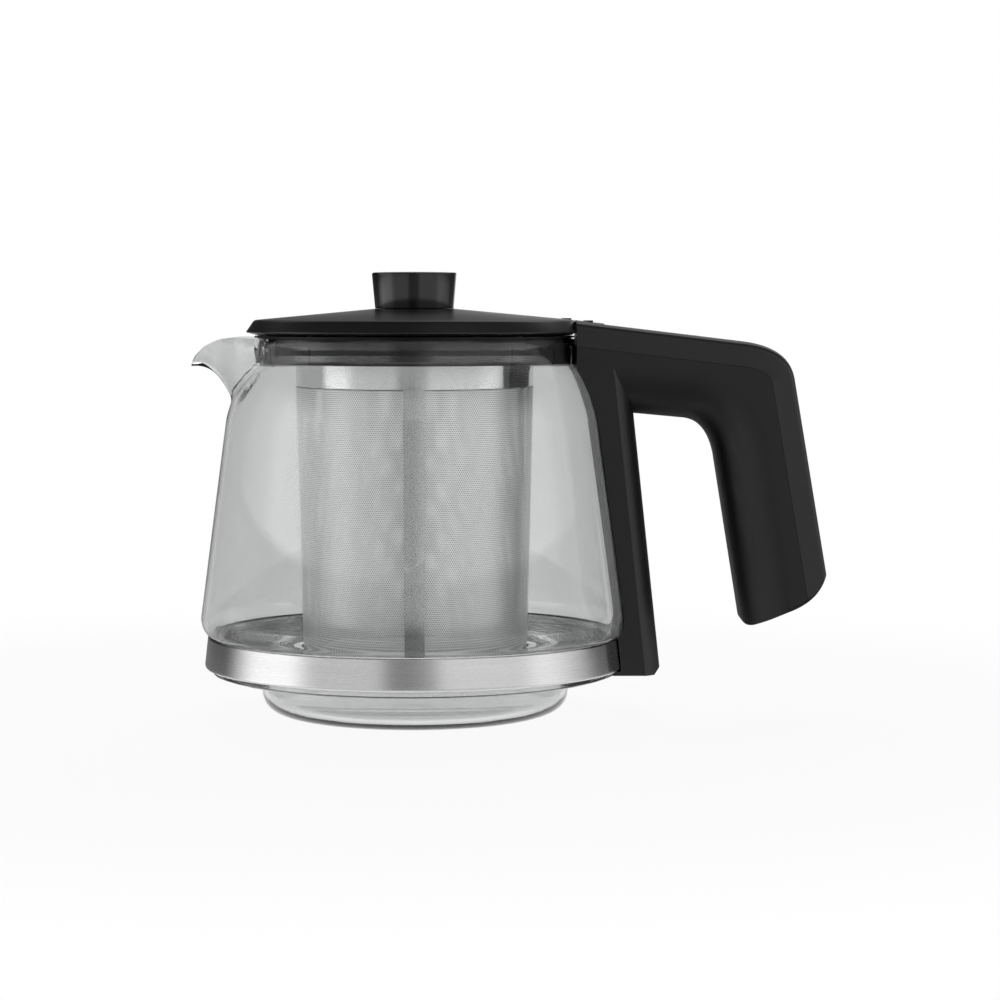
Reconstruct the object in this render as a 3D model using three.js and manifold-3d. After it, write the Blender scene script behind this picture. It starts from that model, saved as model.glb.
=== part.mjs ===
// Glass teapot of an automatic tea maker: a blown jug with a beak spout and a stepped foot,
// a steel band round its base, a hooked handle, a lift-out steel filter in a snap-in collar,
// and a lid with a knob. Millimetres, +Z up, handle toward +X, spout toward -X.
// The origin is the centre of the flat foot bottom, on the axis of the jug.

import * as THREE from 'three';
import { mergeVertices } from 'three/addons/utils/BufferGeometryUtils.js';
import Module from 'manifold-3d';

const wasm = await Module();
wasm.setup();

// Shared clearances and cuts
const seatGap = 0.3;
const overrun = 1;
const roundSides = 44;
const fineSides = 36;
const screwSides = 16;
const filletSteps = 3;
const fingerSteps = 4;
const cornerSteps = 6;

// Glass jug, from the belly down to the foot and up to the rim
const glassWall = 2;
const neckWall = 1.7;
const floorThickness = 2.6;
const bellyRadius = 74.9;
const bellyHeight = 34.4;
const bellyRise = 6.1;
const bellyUndercut = 2.6;
const waistDepth = 4.9;
const waistFillet = 2;
const lipDepth = 4.1;
const lipHeight = 15.2;
const lipThickness = 2;
const bowlSag = 1;
const footRadius = 53.8;
const footCornerWidth = 13;
const footCornerHeight = 9;
const stepHeight = 13.6;
const stepFillet = 1.4;
const shoulderTaper = 9.2;
const shoulderHeight = 104;
const shoulderRise = 17.4;
const neckRadius = 56.6;
const neckLength = 10.2;
const neckFillet = 1.8;
const beadSwell = 0.4;
const beadHeight = 2.2;

const waistRadius = bellyRadius - waistDepth;
const lipRadius = bellyRadius - lipDepth;
const lipTop = lipHeight + lipThickness;
const bandSeatTop = bellyHeight - bellyRise;
const shoulderRadius = bellyRadius - shoulderTaper;
const neckHeight = shoulderHeight + shoulderRise;
const neckInner = neckRadius - neckWall;
const rimHeight = neckHeight + neckLength;
const beadRadius = neckRadius + beadSwell;

// Beak spout, with heights counted from the rim
const spoutReach = 78.2;
const spoutTipDrop = 9.7;
const spoutCrestRise = 0.8;
const spoutRootHalfWidth = 24;
const spoutTipHalfWidth = 3.2;
const spoutWall = 1.8;
const spoutStations = 12;
const spoutSides = 16;
const beakTaperShare = 1.2;

const spoutTipHeight = rimHeight - spoutTipDrop;
const spoutCrest = rimHeight + spoutCrestRise;

// Base band, standing off the waist of the glass
const bandTopStandOff = 2.6;
const bandFootStandOff = 3.6;
const bandTopGap = 0.4;
const bandFootRise = 1;
const bandSheet = 0.8;
const bandRoll = 1.3;
const lugHalfWidth = 5;
const lugThickness = 2;
const lugRise = 2.8;

const bandTop = bandSeatTop - bandTopGap;
const bandFoot = lipTop + bandFootRise;
const bandBottom = bandFoot - bandRoll;
const bandTopRadius = waistRadius + bandTopStandOff;
const bandFootRadius = waistRadius + bandFootStandOff;
const lugHeight = bandFoot + lugRise;

// Collar, hung in the neck
const collarDepth = 8.8;
const collarWall = 2;
const collarFlange = 0.6;
const ledgeThickness = 2;
const slitWidth = 0.8;
const frontPanelHalfAngle = 38;
const tabOuterAngle = 60;
const windowInnerAngle = 44;
const windowOuterAngle = 57;
const windowDrop = 3;
const windowHeight = 2.8;
const latchDepth = 0.7;
const latchDrop = 0.6;
const latchHeight = 2;
const latchLegHeight = 1;
const latchLegAngle = 1.6;
const pourSlotCount = 7;
const pourSlotWidth = 3;
const pourSlotPitch = 7;
const pourSlotRise = 2.8;
const pourSlotHeight = 5;

const collarFoot = rimHeight - collarDepth;
const collarOuter = neckInner - seatGap;
const collarInner = collarOuter - collarWall;
const collarTop = rimHeight + seatGap + collarFlange;
const windowBottom = rimHeight - windowDrop;
const windowTop = windowBottom + windowHeight;
const latchTop = windowBottom - latchDrop;
const latchFoot = latchTop - latchHeight;
const pourSlotBottom = collarFoot + pourSlotRise;
const pourSlotTop = pourSlotBottom + pourSlotHeight;

// Filter, hung on the ledge of the collar
const filterInset = 14.9;
const filterTaper = 2.5;
const filterFoot = 22;
const filterSheet = 0.5;
const filterFlangeWidth = 2.6;
const filterBandHeight = 8.4;
const retainerHeight = 1.6;
const retainerWidth = 3;
const seamStripWidth = 7;
const seamStripSheet = 0.5;
const seamStripOffset = 1;
const filterRimHeight = 2.6;
const filterRimWidth = 4.4;

const filterTopRadius = neckRadius - filterInset;
const filterFootRadius = filterTopRadius - filterTaper;
const filterBandFoot = collarFoot - filterBandHeight;
const filterRimTop = filterFoot + filterRimHeight;
const ledgeTop = collarFoot + ledgeThickness;
const flangeTop = ledgeTop + seatGap + filterSheet;

// Lid, with heights counted from the rim of the glass
const lidRimInset = 0.7;
const lidRimRise = 6.4;
const lidBevelWidth = 2.9;
const lidBevelRise = 2.1;
const lidRise = 3.9;
const lidWall = 2.2;
const lidSeatInset = 0.9;
const lidSeatWidth = 3;
const plugInset = 4.2;
const plugWall = 2;
const plugDepth = 11.5;
const sealHeight = 3;
const sealGrooveDepth = 1;
const sealLip = 0.8;

const lidRimRadius = neckRadius - lidRimInset;
const lidRimHeight = rimHeight + lidRimRise;
const lidBevelRadius = lidRimRadius + lidBevelWidth;
const lidBevelHeight = rimHeight + lidBevelRise;
const lidCrownHeight = lidRimHeight + lidRise;
const lidSeatRadius = lidRimRadius - lidSeatInset;
const lidSeatHeight = collarTop + seatGap;
const plugRadius = filterTopRadius - plugInset;
const plugBottom = lidSeatHeight - plugDepth;
const sealBottom = plugBottom + plugWall / 2;

// Knob
const knobTopRadius = 14.9;
const knobFootRadius = 13.8;
const knobHeight = 13;
const knobEdge = 0.8;
const knobDome = 0.4;
const knobStemRadius = 5;
const washerThickness = 1;

const knobFoot = lidCrownHeight + seatGap;
const knobTop = lidCrownHeight + knobHeight;
const washerTop = lidCrownHeight - lidWall - seatGap;

// Handle, with its reach counted from the belly and its drop from the rim of the lid
const handleHalfWidth = 18.5;
const handleEdge = 1.6;
const fingerReach = 19;
const fingerDepth = 14;
const gripReach = 57.3;
const gripDrop = 20.2;
const gripLean = 10.9;
const gripLength = 64.4;
const gripTopDepth = 27.6;
const gripFootDepth = 29.5;
const shoulderBulge = 1.9;
const armCornerSetback = 16.3;
const armDrop = 7;
const tipCurveInset = 0.7;
const tipCurveDrop = 11.4;
const tipFootInset = 12.9;
const tipFootDrop = 16.1;
const heelLength = 4.8;
const heelDrop = 1.5;
const heelRound = 0.8;
const heelRise = 4.2;
const gripInnerDrop = 26.8;
const innerCornerRise = 12.8;
const innerCornerSetback = 2.5;
const underarmLength = 9.8;
const underarmRise = 0.4;
const strapTopRise = 1.5;
const strapTopDepth = 10.3;
const strapFootDepth = 11.7;
const strapToe = 2.8;
const strapSideInset = 0.2;
const strapChamferDepth = 5.4;
const strapChamferWidth = 7;
const coverDepth = 9;
const coverDraft = 1.2;
const spineDepth = 1.6;
const spineHalfWidth = 10;
const spineSetback = 10.1;
const padThickness = 0.8;
const padSideInset = 3;
const padFootRise = 1.6;
const padTopDrop = 3.4;
const markLength = 3.4;
const markWidth = 1.2;
const markHeight = 0.4;
const markInset = 3;

const gripTopX = bellyRadius + gripReach;
const gripTopZ = lidRimHeight - gripDrop;
const gripTipX = gripTopX + gripLean;
const gripTipZ = gripTopZ - gripLength;
const armCornerZ = lidRimHeight - armDrop;
const shoulderX = gripTopX - shoulderBulge;
const shoulderZ = armCornerZ - shoulderBulge;
const armCornerX = shoulderX - armCornerSetback;
const tipCurveX = gripTipX - tipCurveInset;
const tipCurveZ = gripTipZ - tipCurveDrop;
const tipFootX = gripTipX - tipFootInset;
const tipFootZ = gripTipZ - tipFootDrop;
const gripInnerFootX = gripTipX - gripFootDepth;
const gripFootX = gripInnerFootX + heelLength;
const gripFootZ = tipFootZ - heelLength;
const gripHeelX = gripInnerFootX + heelRound;
const gripHeelZ = gripFootZ - heelDrop;
const gripInnerFootZ = gripHeelZ + heelRise;
const gripInnerTopX = gripTopX - gripTopDepth;
const gripInnerTopZ = gripTopZ - gripInnerDrop;
const innerCornerX = gripInnerTopX - innerCornerSetback;
const innerCornerZ = gripInnerTopZ + innerCornerRise;
const underarmX = innerCornerX - underarmLength;
const underarmZ = innerCornerZ + underarmRise;
const strapTopX = shoulderRadius + strapTopDepth;
const strapTopZ = underarmZ + strapTopRise;
const strapBottom = lipHeight;
const strapFootX = bandFootRadius + strapFootDepth;
const strapFootZ = strapBottom + strapToe;
const strapHalfWidth = handleHalfWidth - strapSideInset;
const padHalfWidth = strapHalfWidth - padSideInset;
const padFoot = bellyHeight + padFootRise;
const padTop = neckHeight - padTopDrop;
const spineStart = lidRimRadius + spineSetback;

// Screws
const screwRadius = 1.6;
const screwHeadRadius = 3;
const screwHeadHeight = 1.8;
const screwSocketRadius = 1.3;
const screwSocketDepth = 1;
const footScrewLength = 14;
const coverScrewLength = 14;
const knobScrewLength = 12;
const upperScrewSetback = 26;
const lowerScrewRise = 16.6;

const upperScrewX = spineStart + upperScrewSetback;
const lowerScrewZ = gripTipZ + lowerScrewRise;
const knobScrewHead = washerTop - washerThickness - seatGap - screwHeadHeight;
const footScrewX = (bandFootRadius + strapFootX) / 2;
const footScrewHead = strapBottom + seatGap;
const lugEnd = footScrewX + lugHalfWidth - overrun;

// Geometry helpers

function signedVolume(positions, triangles) {
  const a = new THREE.Vector3();
  const b = new THREE.Vector3();
  const c = new THREE.Vector3();
  let sum = 0;
  for (let i = 0; i < triangles.length; i += 3) {
    a.fromArray(positions, 3 * triangles[i]);
    b.fromArray(positions, 3 * triangles[i + 1]);
    c.fromArray(positions, 3 * triangles[i + 2]);
    sum += a.dot(b.cross(c));
  }
  return sum;
}

// A closed three.js geometry as a solid that can be joined and cut
function solid(geometry) {
  const bare = geometry.clone();
  bare.deleteAttribute('normal');
  bare.deleteAttribute('uv');
  const merged = mergeVertices(bare);
  const vertProperties = Float32Array.from(merged.attributes.position.array);
  const triangles = [];
  const index = merged.index.array;
  for (let i = 0; i < index.length; i += 3) {
    const [a, b, c] = [index[i], index[i + 1], index[i + 2]];
    if (a !== b && b !== c && c !== a) {
      triangles.push(a, b, c);
    }
  }
  if (signedVolume(vertProperties, triangles) < 0) {
    triangles.reverse();
  }
  const triVerts = Uint32Array.from(triangles);
  return new wasm.Manifold(new wasm.Mesh({ numProp: 3, vertProperties, triVerts }));
}

function geometryOf(body) {
  const mesh = body.getMesh();
  const geometry = new THREE.BufferGeometry();
  geometry.setAttribute('position', new THREE.BufferAttribute(Float32Array.from(mesh.vertProperties), 3));
  geometry.setIndex(new THREE.BufferAttribute(Uint32Array.from(mesh.triVerts), 1));
  geometry.computeVertexNormals();
  return geometry;
}

// A profile of radius and height turned about the Z axis
function revolve(points, sides = roundSides) {
  const profile = points.map((p) => new THREE.Vector2(p.x, p.y));
  const first = profile[0];
  const last = profile[profile.length - 1];
  if (first.x > 0 || last.x > 0) {
    profile.push(first.clone());
  }
  const geometry = new THREE.LatheGeometry(profile, sides);
  geometry.rotateX(Math.PI / 2);
  return solid(geometry);
}

function turned(pairs, sides = roundSides) {
  return revolve(pairs.map(([r, z]) => new THREE.Vector2(r, z)), sides);
}

function disc(radius, bottom, top, sides = fineSides) {
  return turned([[0, bottom], [radius, bottom], [radius, top], [0, top]], sides);
}

function ring(inner, outer, bottom, top, sides = roundSides) {
  return turned([[inner, bottom], [outer, bottom], [outer, top], [inner, top]], sides);
}

function block(x0, x1, y0, y1, z0, z1) {
  const geometry = new THREE.BoxGeometry(x1 - x0, y1 - y0, z1 - z0);
  geometry.translate((x0 + x1) / 2, (y0 + y1) / 2, (z0 + z1) / 2);
  return solid(geometry);
}

// An outline in X and Z with thickness along Y, centred on the plane of the handle
function sidewaysPlate(shape, halfWidth, bevel = {}) {
  const { size = 0, width = 0, steps = 1 } = bevel;
  const geometry = new THREE.ExtrudeGeometry(shape, {
    depth: 2 * (halfWidth - width),
    steps: 1,
    curveSegments: cornerSteps,
    bevelEnabled: size > 0,
    bevelSize: size,
    bevelOffset: -size,
    bevelThickness: width,
    bevelSegments: steps,
  });
  geometry.translate(0, 0, width - halfWidth);
  geometry.rotateX(Math.PI / 2);
  return solid(geometry);
}

// A wedge of the round parts between two angles counted from -Y toward +X, in degrees
function sector(fromAngle, toAngle, inner, outer, bottom, top) {
  const start = THREE.MathUtils.degToRad(fromAngle) - Math.PI / 2;
  const end = THREE.MathUtils.degToRad(toAngle) - Math.PI / 2;
  const shape = new THREE.Shape();
  shape.absarc(0, 0, outer, start, end, false);
  shape.absarc(0, 0, inner, end, start, true);
  shape.closePath();
  const geometry = new THREE.ExtrudeGeometry(shape, {
    depth: top - bottom,
    bevelEnabled: false,
    curveSegments: 2,
  });
  geometry.translate(0, 0, bottom);
  return solid(geometry);
}

// A screw whose head top is at the origin and whose shank points down
function screwBody(length) {
  const shank = turned([
    [0, -length],
    [screwRadius, -length],
    [screwRadius, -screwHeadHeight],
    [screwHeadRadius, -screwHeadHeight],
    [screwHeadRadius, 0],
    [0, 0],
  ], screwSides);
  const socket = disc(screwSocketRadius, -screwSocketDepth, overrun, 6);
  return shank.subtract(socket);
}

// The hole that a screw sits in, open above its head
function screwHole(length, openAbove) {
  return turned([
    [0, -length - seatGap],
    [screwRadius + seatGap, -length - seatGap],
    [screwRadius + seatGap, -screwHeadHeight - seatGap],
    [screwHeadRadius + seatGap, -screwHeadHeight - seatGap],
    [screwHeadRadius + seatGap, openAbove],
    [0, openAbove],
  ], screwSides);
}

// Glass jug

// One face of the glass from the axis up to the rim: inset 0 is the outside
function vesselPath(inset, neckInset, floorHeight) {
  const path = new THREE.Path();
  path.moveTo(0, floorHeight);
  path.lineTo(footRadius - footCornerWidth, floorHeight);
  path.quadraticCurveTo(footRadius - inset, floorHeight, footRadius - inset, footCornerHeight);
  path.lineTo(footRadius - inset, stepHeight + inset - stepFillet);
  path.quadraticCurveTo(
    footRadius - inset, stepHeight + inset,
    footRadius - inset + stepFillet, stepHeight + inset,
  );
  path.quadraticCurveTo(
    lipRadius - inset - bowlSag, stepHeight + inset,
    lipRadius - inset, lipHeight + inset,
  );
  path.lineTo(lipRadius - inset, lipTop + inset);
  path.lineTo(waistRadius - inset, lipTop + inset + lipRadius - waistRadius);
  path.lineTo(waistRadius - inset, bandSeatTop - waistFillet);
  path.quadraticCurveTo(
    waistRadius - inset, bandSeatTop,
    bellyRadius - inset - bellyUndercut, bandSeatTop,
  );
  path.quadraticCurveTo(
    bellyRadius - inset, bandSeatTop + waistFillet,
    bellyRadius - inset, bellyHeight,
  );
  path.lineTo(shoulderRadius - inset, shoulderHeight);
  path.quadraticCurveTo(
    (shoulderRadius + neckRadius) / 2 + neckFillet - inset, (shoulderHeight + neckHeight) / 2 + neckFillet,
    neckRadius - neckInset + neckFillet, neckHeight,
  );
  path.quadraticCurveTo(
    neckRadius - neckInset, neckHeight + neckFillet,
    neckRadius - neckInset, neckHeight + 2 * neckFillet,
  );
  return path;
}

function vesselPoints(inset, neckInset, floorHeight) {
  return vesselPath(inset, neckInset, floorHeight).getPoints(filletSteps);
}

function outerJugPoints(grow) {
  const points = vesselPoints(-grow, -grow, -grow);
  points.push(new THREE.Vector2(neckRadius + grow, rimHeight - beadHeight - grow));
  points.push(new THREE.Vector2(beadRadius + grow, rimHeight - beadHeight / 2 - grow));
  points.push(new THREE.Vector2(beadRadius + grow, rimHeight + grow));
  points.push(new THREE.Vector2(0, rimHeight + grow));
  return points;
}

// The side line of the beak: its underside and its rim, from the neck to the tip
const beakUnderside = new THREE.CubicBezierCurve(
  new THREE.Vector2(neckInner - glassWall, shoulderHeight - 4 * glassWall),
  new THREE.Vector2(shoulderRadius, shoulderHeight + spoutWall),
  new THREE.Vector2(shoulderRadius - spoutWall / 2, spoutTipHeight + spoutWall),
  new THREE.Vector2(spoutReach, spoutTipHeight),
);

const beakRim = new THREE.CubicBezierCurve(
  new THREE.Vector2(beadRadius - glassWall, rimHeight),
  new THREE.Vector2((beadRadius + spoutReach) / 2, spoutCrest + beadHeight / 2),
  new THREE.Vector2(spoutReach - glassWall, rimHeight - beadHeight),
  new THREE.Vector2(spoutReach, spoutTipHeight),
);

// A tapering trough of round sections; the inset face is the pouring channel
function beakHorn(inset) {
  const positions = [];
  const index = [];
  const spread = spoutRootHalfWidth - spoutTipHalfWidth;
  const middle = spoutCrest + overrun;
  for (let i = 0; i <= spoutStations; i += 1) {
    const share = i / spoutStations;
    const low = beakUnderside.getPoint(share);
    const width = spoutTipHalfWidth + spread * (1 - share) ** beakTaperShare - inset;
    const height = middle - low.y - inset;
    for (let j = 0; j < spoutSides; j += 1) {
      const turn = Math.PI * 2 * j / spoutSides;
      positions.push(inset * share - low.x, width * Math.cos(turn), middle + height * Math.sin(turn));
    }
  }
  for (let i = 0; i < spoutStations; i += 1) {
    for (let j = 0; j < spoutSides; j += 1) {
      const a = i * spoutSides + j;
      const b = i * spoutSides + (j + 1) % spoutSides;
      index.push(a, b, b + spoutSides, a, b + spoutSides, a + spoutSides);
    }
  }
  const last = spoutStations * spoutSides;
  for (let j = 1; j < spoutSides - 1; j += 1) {
    index.push(0, j + 1, j);
    index.push(last, last + j, last + j + 1);
  }
  const geometry = new THREE.BufferGeometry();
  geometry.setAttribute('position', new THREE.Float32BufferAttribute(positions, 3));
  geometry.setIndex(index);
  return solid(geometry);
}

// Everything above the rim line of the beak, seen from the side
function aboveBeakRim() {
  const sky = spoutCrest + spoutReach;
  const points = beakRim.getPoints(spoutStations).map((p) => new THREE.Vector2(-p.x, p.y));
  const tip = points[points.length - 1];
  points.push(new THREE.Vector2(tip.x - overrun, tip.y), new THREE.Vector2(tip.x - overrun, sky));
  points.push(new THREE.Vector2(0, sky), new THREE.Vector2(0, rimHeight));
  return sidewaysPlate(new THREE.Shape(points), spoutRootHalfWidth + overrun);
}

function glassJug() {
  const inside = vesselPoints(glassWall, neckWall, floorThickness);
  inside.push(new THREE.Vector2(neckInner, spoutCrest + spoutRootHalfWidth));
  inside.push(new THREE.Vector2(0, spoutCrest + spoutRootHalfWidth));
  const body = revolve(outerJugPoints(0)).add(beakHorn(0));
  return body.subtract(revolve(inside)).subtract(beakHorn(spoutWall)).subtract(aboveBeakRim());
}

// Base band

function bandRadiusAt(height) {
  const share = (bandTop - height) / (bandTop - bandFoot);
  return bandTopRadius + (bandFootRadius - bandTopRadius) * share;
}

function baseBand() {
  const rolled = turned([
    [bandTopRadius - bandSheet, bandTop],
    [bandTopRadius - bandRoll / 2, bandTop],
    [bandTopRadius, bandTop - bandRoll / 2],
    [bandFootRadius, bandFoot],
    [bandFootRadius - bandRoll / 4, bandFoot - bandRoll * 3 / 4],
    [bandFootRadius - bandRoll, bandBottom],
    [lipRadius + seatGap, bandBottom],
    [lipRadius + seatGap, bandBottom + bandSheet],
    [bandFootRadius - bandRoll, bandBottom + bandSheet],
    [bandFootRadius - bandSheet, bandFoot + bandRoll / 4],
  ]);
  const root = bandRadiusAt(lugHeight) - bandSheet * 3 / 4;
  const lug = block(
    root, lugEnd,
    -lugHalfWidth, lugHalfWidth,
    lugHeight - lugThickness / 2, lugHeight + lugThickness / 2,
  );
  const hole = disc(screwRadius + seatGap, lugHeight - lugThickness, lugHeight + lugThickness, screwSides);
  return rolled.add(lug).subtract(hole.translate([footScrewX, 0, 0]));
}

// The room that the jug and its band take, grown by a clearance
function jugRoom(clearance) {
  const band = turned([
    [0, bandBottom - clearance],
    [bandFootRadius + clearance, bandBottom - clearance],
    [bandFootRadius + clearance, bandFoot],
    [bandTopRadius + clearance, bandTop + clearance],
    [0, bandTop + clearance],
  ]);
  return revolve(outerJugPoints(clearance)).add(band);
}

// Handle

const armRootX = neckInner - handleHalfWidth / 2;
const armRun = new THREE.Vector2(armCornerX - lidRimRadius, armCornerZ - lidRimHeight).normalize();
const gripRun = new THREE.Vector2(gripTipX - gripTopX, gripTipZ - gripTopZ).normalize();
const armInward = new THREE.Vector2(armRun.y, -armRun.x);
const gripInward = new THREE.Vector2(gripRun.y, -gripRun.x);

// The back line of the handle, moved inward by a depth, with long straight ends
function backLine(depth) {
  const armCorner = new THREE.Vector2(armCornerX, armCornerZ).addScaledVector(armInward, depth);
  const gripTop = new THREE.Vector2(gripTopX, gripTopZ).addScaledVector(gripInward, depth);
  const mitre = armInward.clone().add(gripInward).divideScalar(1 + armInward.dot(gripInward));
  const shoulder = new THREE.Vector2(shoulderX, shoulderZ).addScaledVector(mitre, depth);
  const reach = armCornerX - armRootX;
  const start = armCorner.clone().addScaledVector(armRun, -reach);
  const end = gripTop.clone().addScaledVector(gripRun, reach + gripTopZ - gripTipZ);
  return { start, armCorner, shoulder, gripTop, end };
}

// All that lies behind the back line once it is moved inward
function behindBackLine(depth) {
  const line = backLine(depth);
  const shape = new THREE.Shape();
  shape.moveTo(line.start.x, line.start.y);
  shape.lineTo(line.armCorner.x, line.armCorner.y);
  shape.quadraticCurveTo(line.shoulder.x, line.shoulder.y, line.gripTop.x, line.gripTop.y);
  shape.lineTo(line.end.x, line.end.y);
  shape.lineTo(gripTipX + handleHalfWidth + depth, line.end.y);
  shape.lineTo(gripTipX + handleHalfWidth + depth, lidRimHeight + handleHalfWidth + depth);
  shape.lineTo(line.start.x, lidRimHeight + handleHalfWidth + depth);
  shape.closePath();
  return sidewaysPlate(shape, handleHalfWidth + overrun);
}

function armAndGrip() {
  const shape = new THREE.Shape();
  const root = backLine(0).start;
  shape.moveTo(root.x, root.y);
  shape.lineTo(armCornerX, armCornerZ);
  shape.quadraticCurveTo(shoulderX, shoulderZ, gripTopX, gripTopZ);
  shape.lineTo(gripTipX, gripTipZ);
  shape.quadraticCurveTo(tipCurveX, tipCurveZ, tipFootX, tipFootZ);
  shape.lineTo(gripFootX, gripFootZ);
  shape.quadraticCurveTo(gripHeelX, gripHeelZ, gripInnerFootX, gripInnerFootZ);
  shape.lineTo(gripInnerTopX, gripInnerTopZ);
  shape.quadraticCurveTo(innerCornerX, innerCornerZ, underarmX, underarmZ);
  shape.lineTo(strapTopX, strapTopZ);
  shape.lineTo(root.x, strapTopZ);
  shape.closePath();
  return sidewaysPlate(shape, handleHalfWidth, { size: handleEdge, width: handleEdge, steps: 2 });
}

// All that lies inside the back line, with sides that lean in toward it over the cover's depth
function draftedSides() {
  const line = backLine(0);
  const shape = new THREE.Shape();
  shape.moveTo(line.start.x, line.start.y);
  shape.lineTo(line.armCorner.x, line.armCorner.y);
  shape.quadraticCurveTo(line.shoulder.x, line.shoulder.y, line.gripTop.x, line.gripTop.y);
  shape.lineTo(line.end.x, line.end.y);
  shape.lineTo(line.start.x - 2 * coverDepth, line.end.y);
  shape.lineTo(line.start.x - 2 * coverDepth, line.start.y);
  shape.closePath();
  return sidewaysPlate(shape, handleHalfWidth, { size: coverDepth, width: coverDraft, steps: 1 });
}

// The same inner edges with a large round, and outer edges far away
function fingerRound() {
  const innerRun = new THREE.Vector2(gripInnerFootX - gripInnerTopX, gripInnerFootZ - gripInnerTopZ);
  const low = new THREE.Vector2(gripInnerTopX, gripInnerTopZ).addScaledVector(innerRun, 2);
  const far = gripTipX + 2 * fingerReach;
  const high = lidRimHeight + 2 * fingerReach;
  const near = armRootX - 2 * fingerReach;
  const shape = new THREE.Shape();
  shape.moveTo(near, high);
  shape.lineTo(far, high);
  shape.lineTo(far, low.y);
  shape.lineTo(low.x, low.y);
  shape.lineTo(gripInnerTopX, gripInnerTopZ);
  shape.quadraticCurveTo(innerCornerX, innerCornerZ, underarmX, underarmZ);
  shape.lineTo(near, strapTopZ + (strapTopZ - underarmZ) * (strapTopX - near) / (underarmX - strapTopX));
  shape.closePath();
  return sidewaysPlate(shape, handleHalfWidth, { size: fingerReach, width: fingerDepth, steps: fingerSteps });
}

function strap() {
  const slope = (strapFootX - strapTopX) / (strapTopZ - strapFootZ);
  const low = strapBottom - strapChamferDepth - overrun;
  const high = lidRimHeight - coverDepth;
  const shape = new THREE.Shape();
  shape.moveTo(armRootX - strapChamferDepth, low);
  shape.lineTo(strapFootX + (strapFootZ - low) * slope, low);
  shape.lineTo(strapTopX - (high - strapTopZ) * slope, high);
  shape.lineTo(armRootX - strapChamferDepth, high);
  shape.closePath();
  const plate = sidewaysPlate(shape, strapHalfWidth, {
    size: strapChamferDepth,
    width: strapChamferWidth,
    steps: 1,
  });
  const below = block(0, gripTipX, -handleHalfWidth, handleHalfWidth, low - strapToe, strapBottom);
  const toe = new THREE.Shape();
  toe.moveTo(strapFootX - strapToe, strapBottom - overrun);
  toe.lineTo(strapFootX + strapToe, strapBottom - overrun);
  toe.lineTo(strapFootX + strapToe, strapFootZ + strapToe);
  toe.closePath();
  return plate.subtract(below).subtract(sidewaysPlate(toe, strapHalfWidth + overrun));
}

// Where a screw goes on the back line, with its shank pointing inward
const screwDepth = spineDepth + seatGap;

function upperScrewPlace() {
  const onLine = new THREE.Vector2(armCornerX, armCornerZ).addScaledVector(armRun, upperScrewX - armCornerX);
  return { at: onLine.addScaledVector(armInward, screwDepth), inward: armInward };
}

function lowerScrewPlace() {
  const onLine = new THREE.Vector2(gripTopX, gripTopZ).addScaledVector(gripRun, gripTopZ - lowerScrewZ);
  return { at: onLine.addScaledVector(gripInward, screwDepth), inward: gripInward };
}

function tilt(inward) {
  return Math.atan2(-inward.x, -inward.y);
}

function placedHole(place) {
  const hole = screwHole(coverScrewLength, spineDepth);
  const turnedHole = hole.rotate([0, THREE.MathUtils.radToDeg(tilt(place.inward)), 0]);
  return turnedHole.translate([place.at.x, 0, place.at.y]);
}

function handleHoles() {
  return placedHole(upperScrewPlace()).add(placedHole(lowerScrewPlace()));
}

function wholeHandle() {
  const rounded = armAndGrip().intersect(fingerRound()).intersect(draftedSides());
  const lidRoom = block(
    0, lidRimRadius + seatGap,
    -handleHalfWidth - overrun, handleHalfWidth + overrun,
    neckHeight, lidRimHeight + handleHalfWidth,
  );
  return rounded.add(strap()).subtract(jugRoom(seatGap)).subtract(lidRoom);
}

function lugPocket() {
  const low = lugHeight - lugThickness / 2 - seatGap;
  const high = lugHeight + lugThickness / 2 + seatGap;
  return block(neckInner, lugEnd + seatGap, -lugHalfWidth - seatGap, lugHalfWidth + seatGap, low, high);
}

// The recess for the pad that beds the strap on the glass
function padRoom(clearance) {
  const swelled = revolve(outerJugPoints(seatGap + padThickness + clearance));
  const reach = padHalfWidth + clearance;
  return swelled.intersect(block(0, gripTipX, -reach, reach, padFoot - clearance, padTop + clearance));
}

function handleFrame() {
  const screwBore = screwHole(footScrewLength, handleHalfWidth);
  const footBore = screwBore.rotate([180, 0, 0]).translate([footScrewX, 0, footScrewHead]);
  return wholeHandle()
    .subtract(behindBackLine(coverDepth + seatGap / 2))
    .subtract(handleHoles())
    .subtract(padRoom(seatGap))
    .subtract(lugPocket())
    .subtract(footBore);
}

function spineRoom(clearance) {
  const far = gripTipX + handleHalfWidth;
  const half = spineHalfWidth + clearance;
  const room = block(spineStart - clearance, far, -half, half, 0, far);
  return behindBackLine(spineDepth + clearance).intersect(room);
}

function handleCover() {
  const markX = lidRimRadius + markInset;
  const markZ = lidRimHeight + armRun.y * (markX - lidRimRadius);
  const mark = block(
    markX, markX + markLength,
    -markWidth / 2, markWidth / 2,
    markZ - overrun, markZ + markHeight / 2,
  );
  return wholeHandle()
    .intersect(behindBackLine(coverDepth - seatGap / 2))
    .subtract(spineRoom(seatGap))
    .subtract(handleHoles())
    .add(mark);
}

function handleSpine() {
  return wholeHandle().intersect(spineRoom(0));
}

function strapPad() {
  const inner = revolve(outerJugPoints(seatGap));
  return padRoom(0).subtract(inner);
}

// Filter and its collar

const mirroredSides = [[1, 0], [-1, 0], [1, 180], [-1, 180]];

// A sector repeated at the four latches of the collar
function latchSectors(fromAngle, toAngle, inner, outer, bottom, top) {
  return mirroredSides.map(([sign, turn]) => {
    const angles = [sign * fromAngle + turn, sign * toAngle + turn].sort((a, b) => a - b);
    return sector(angles[0], angles[1], inner, outer, bottom, top);
  }).reduce((sum, next) => sum.add(next));
}

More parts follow.
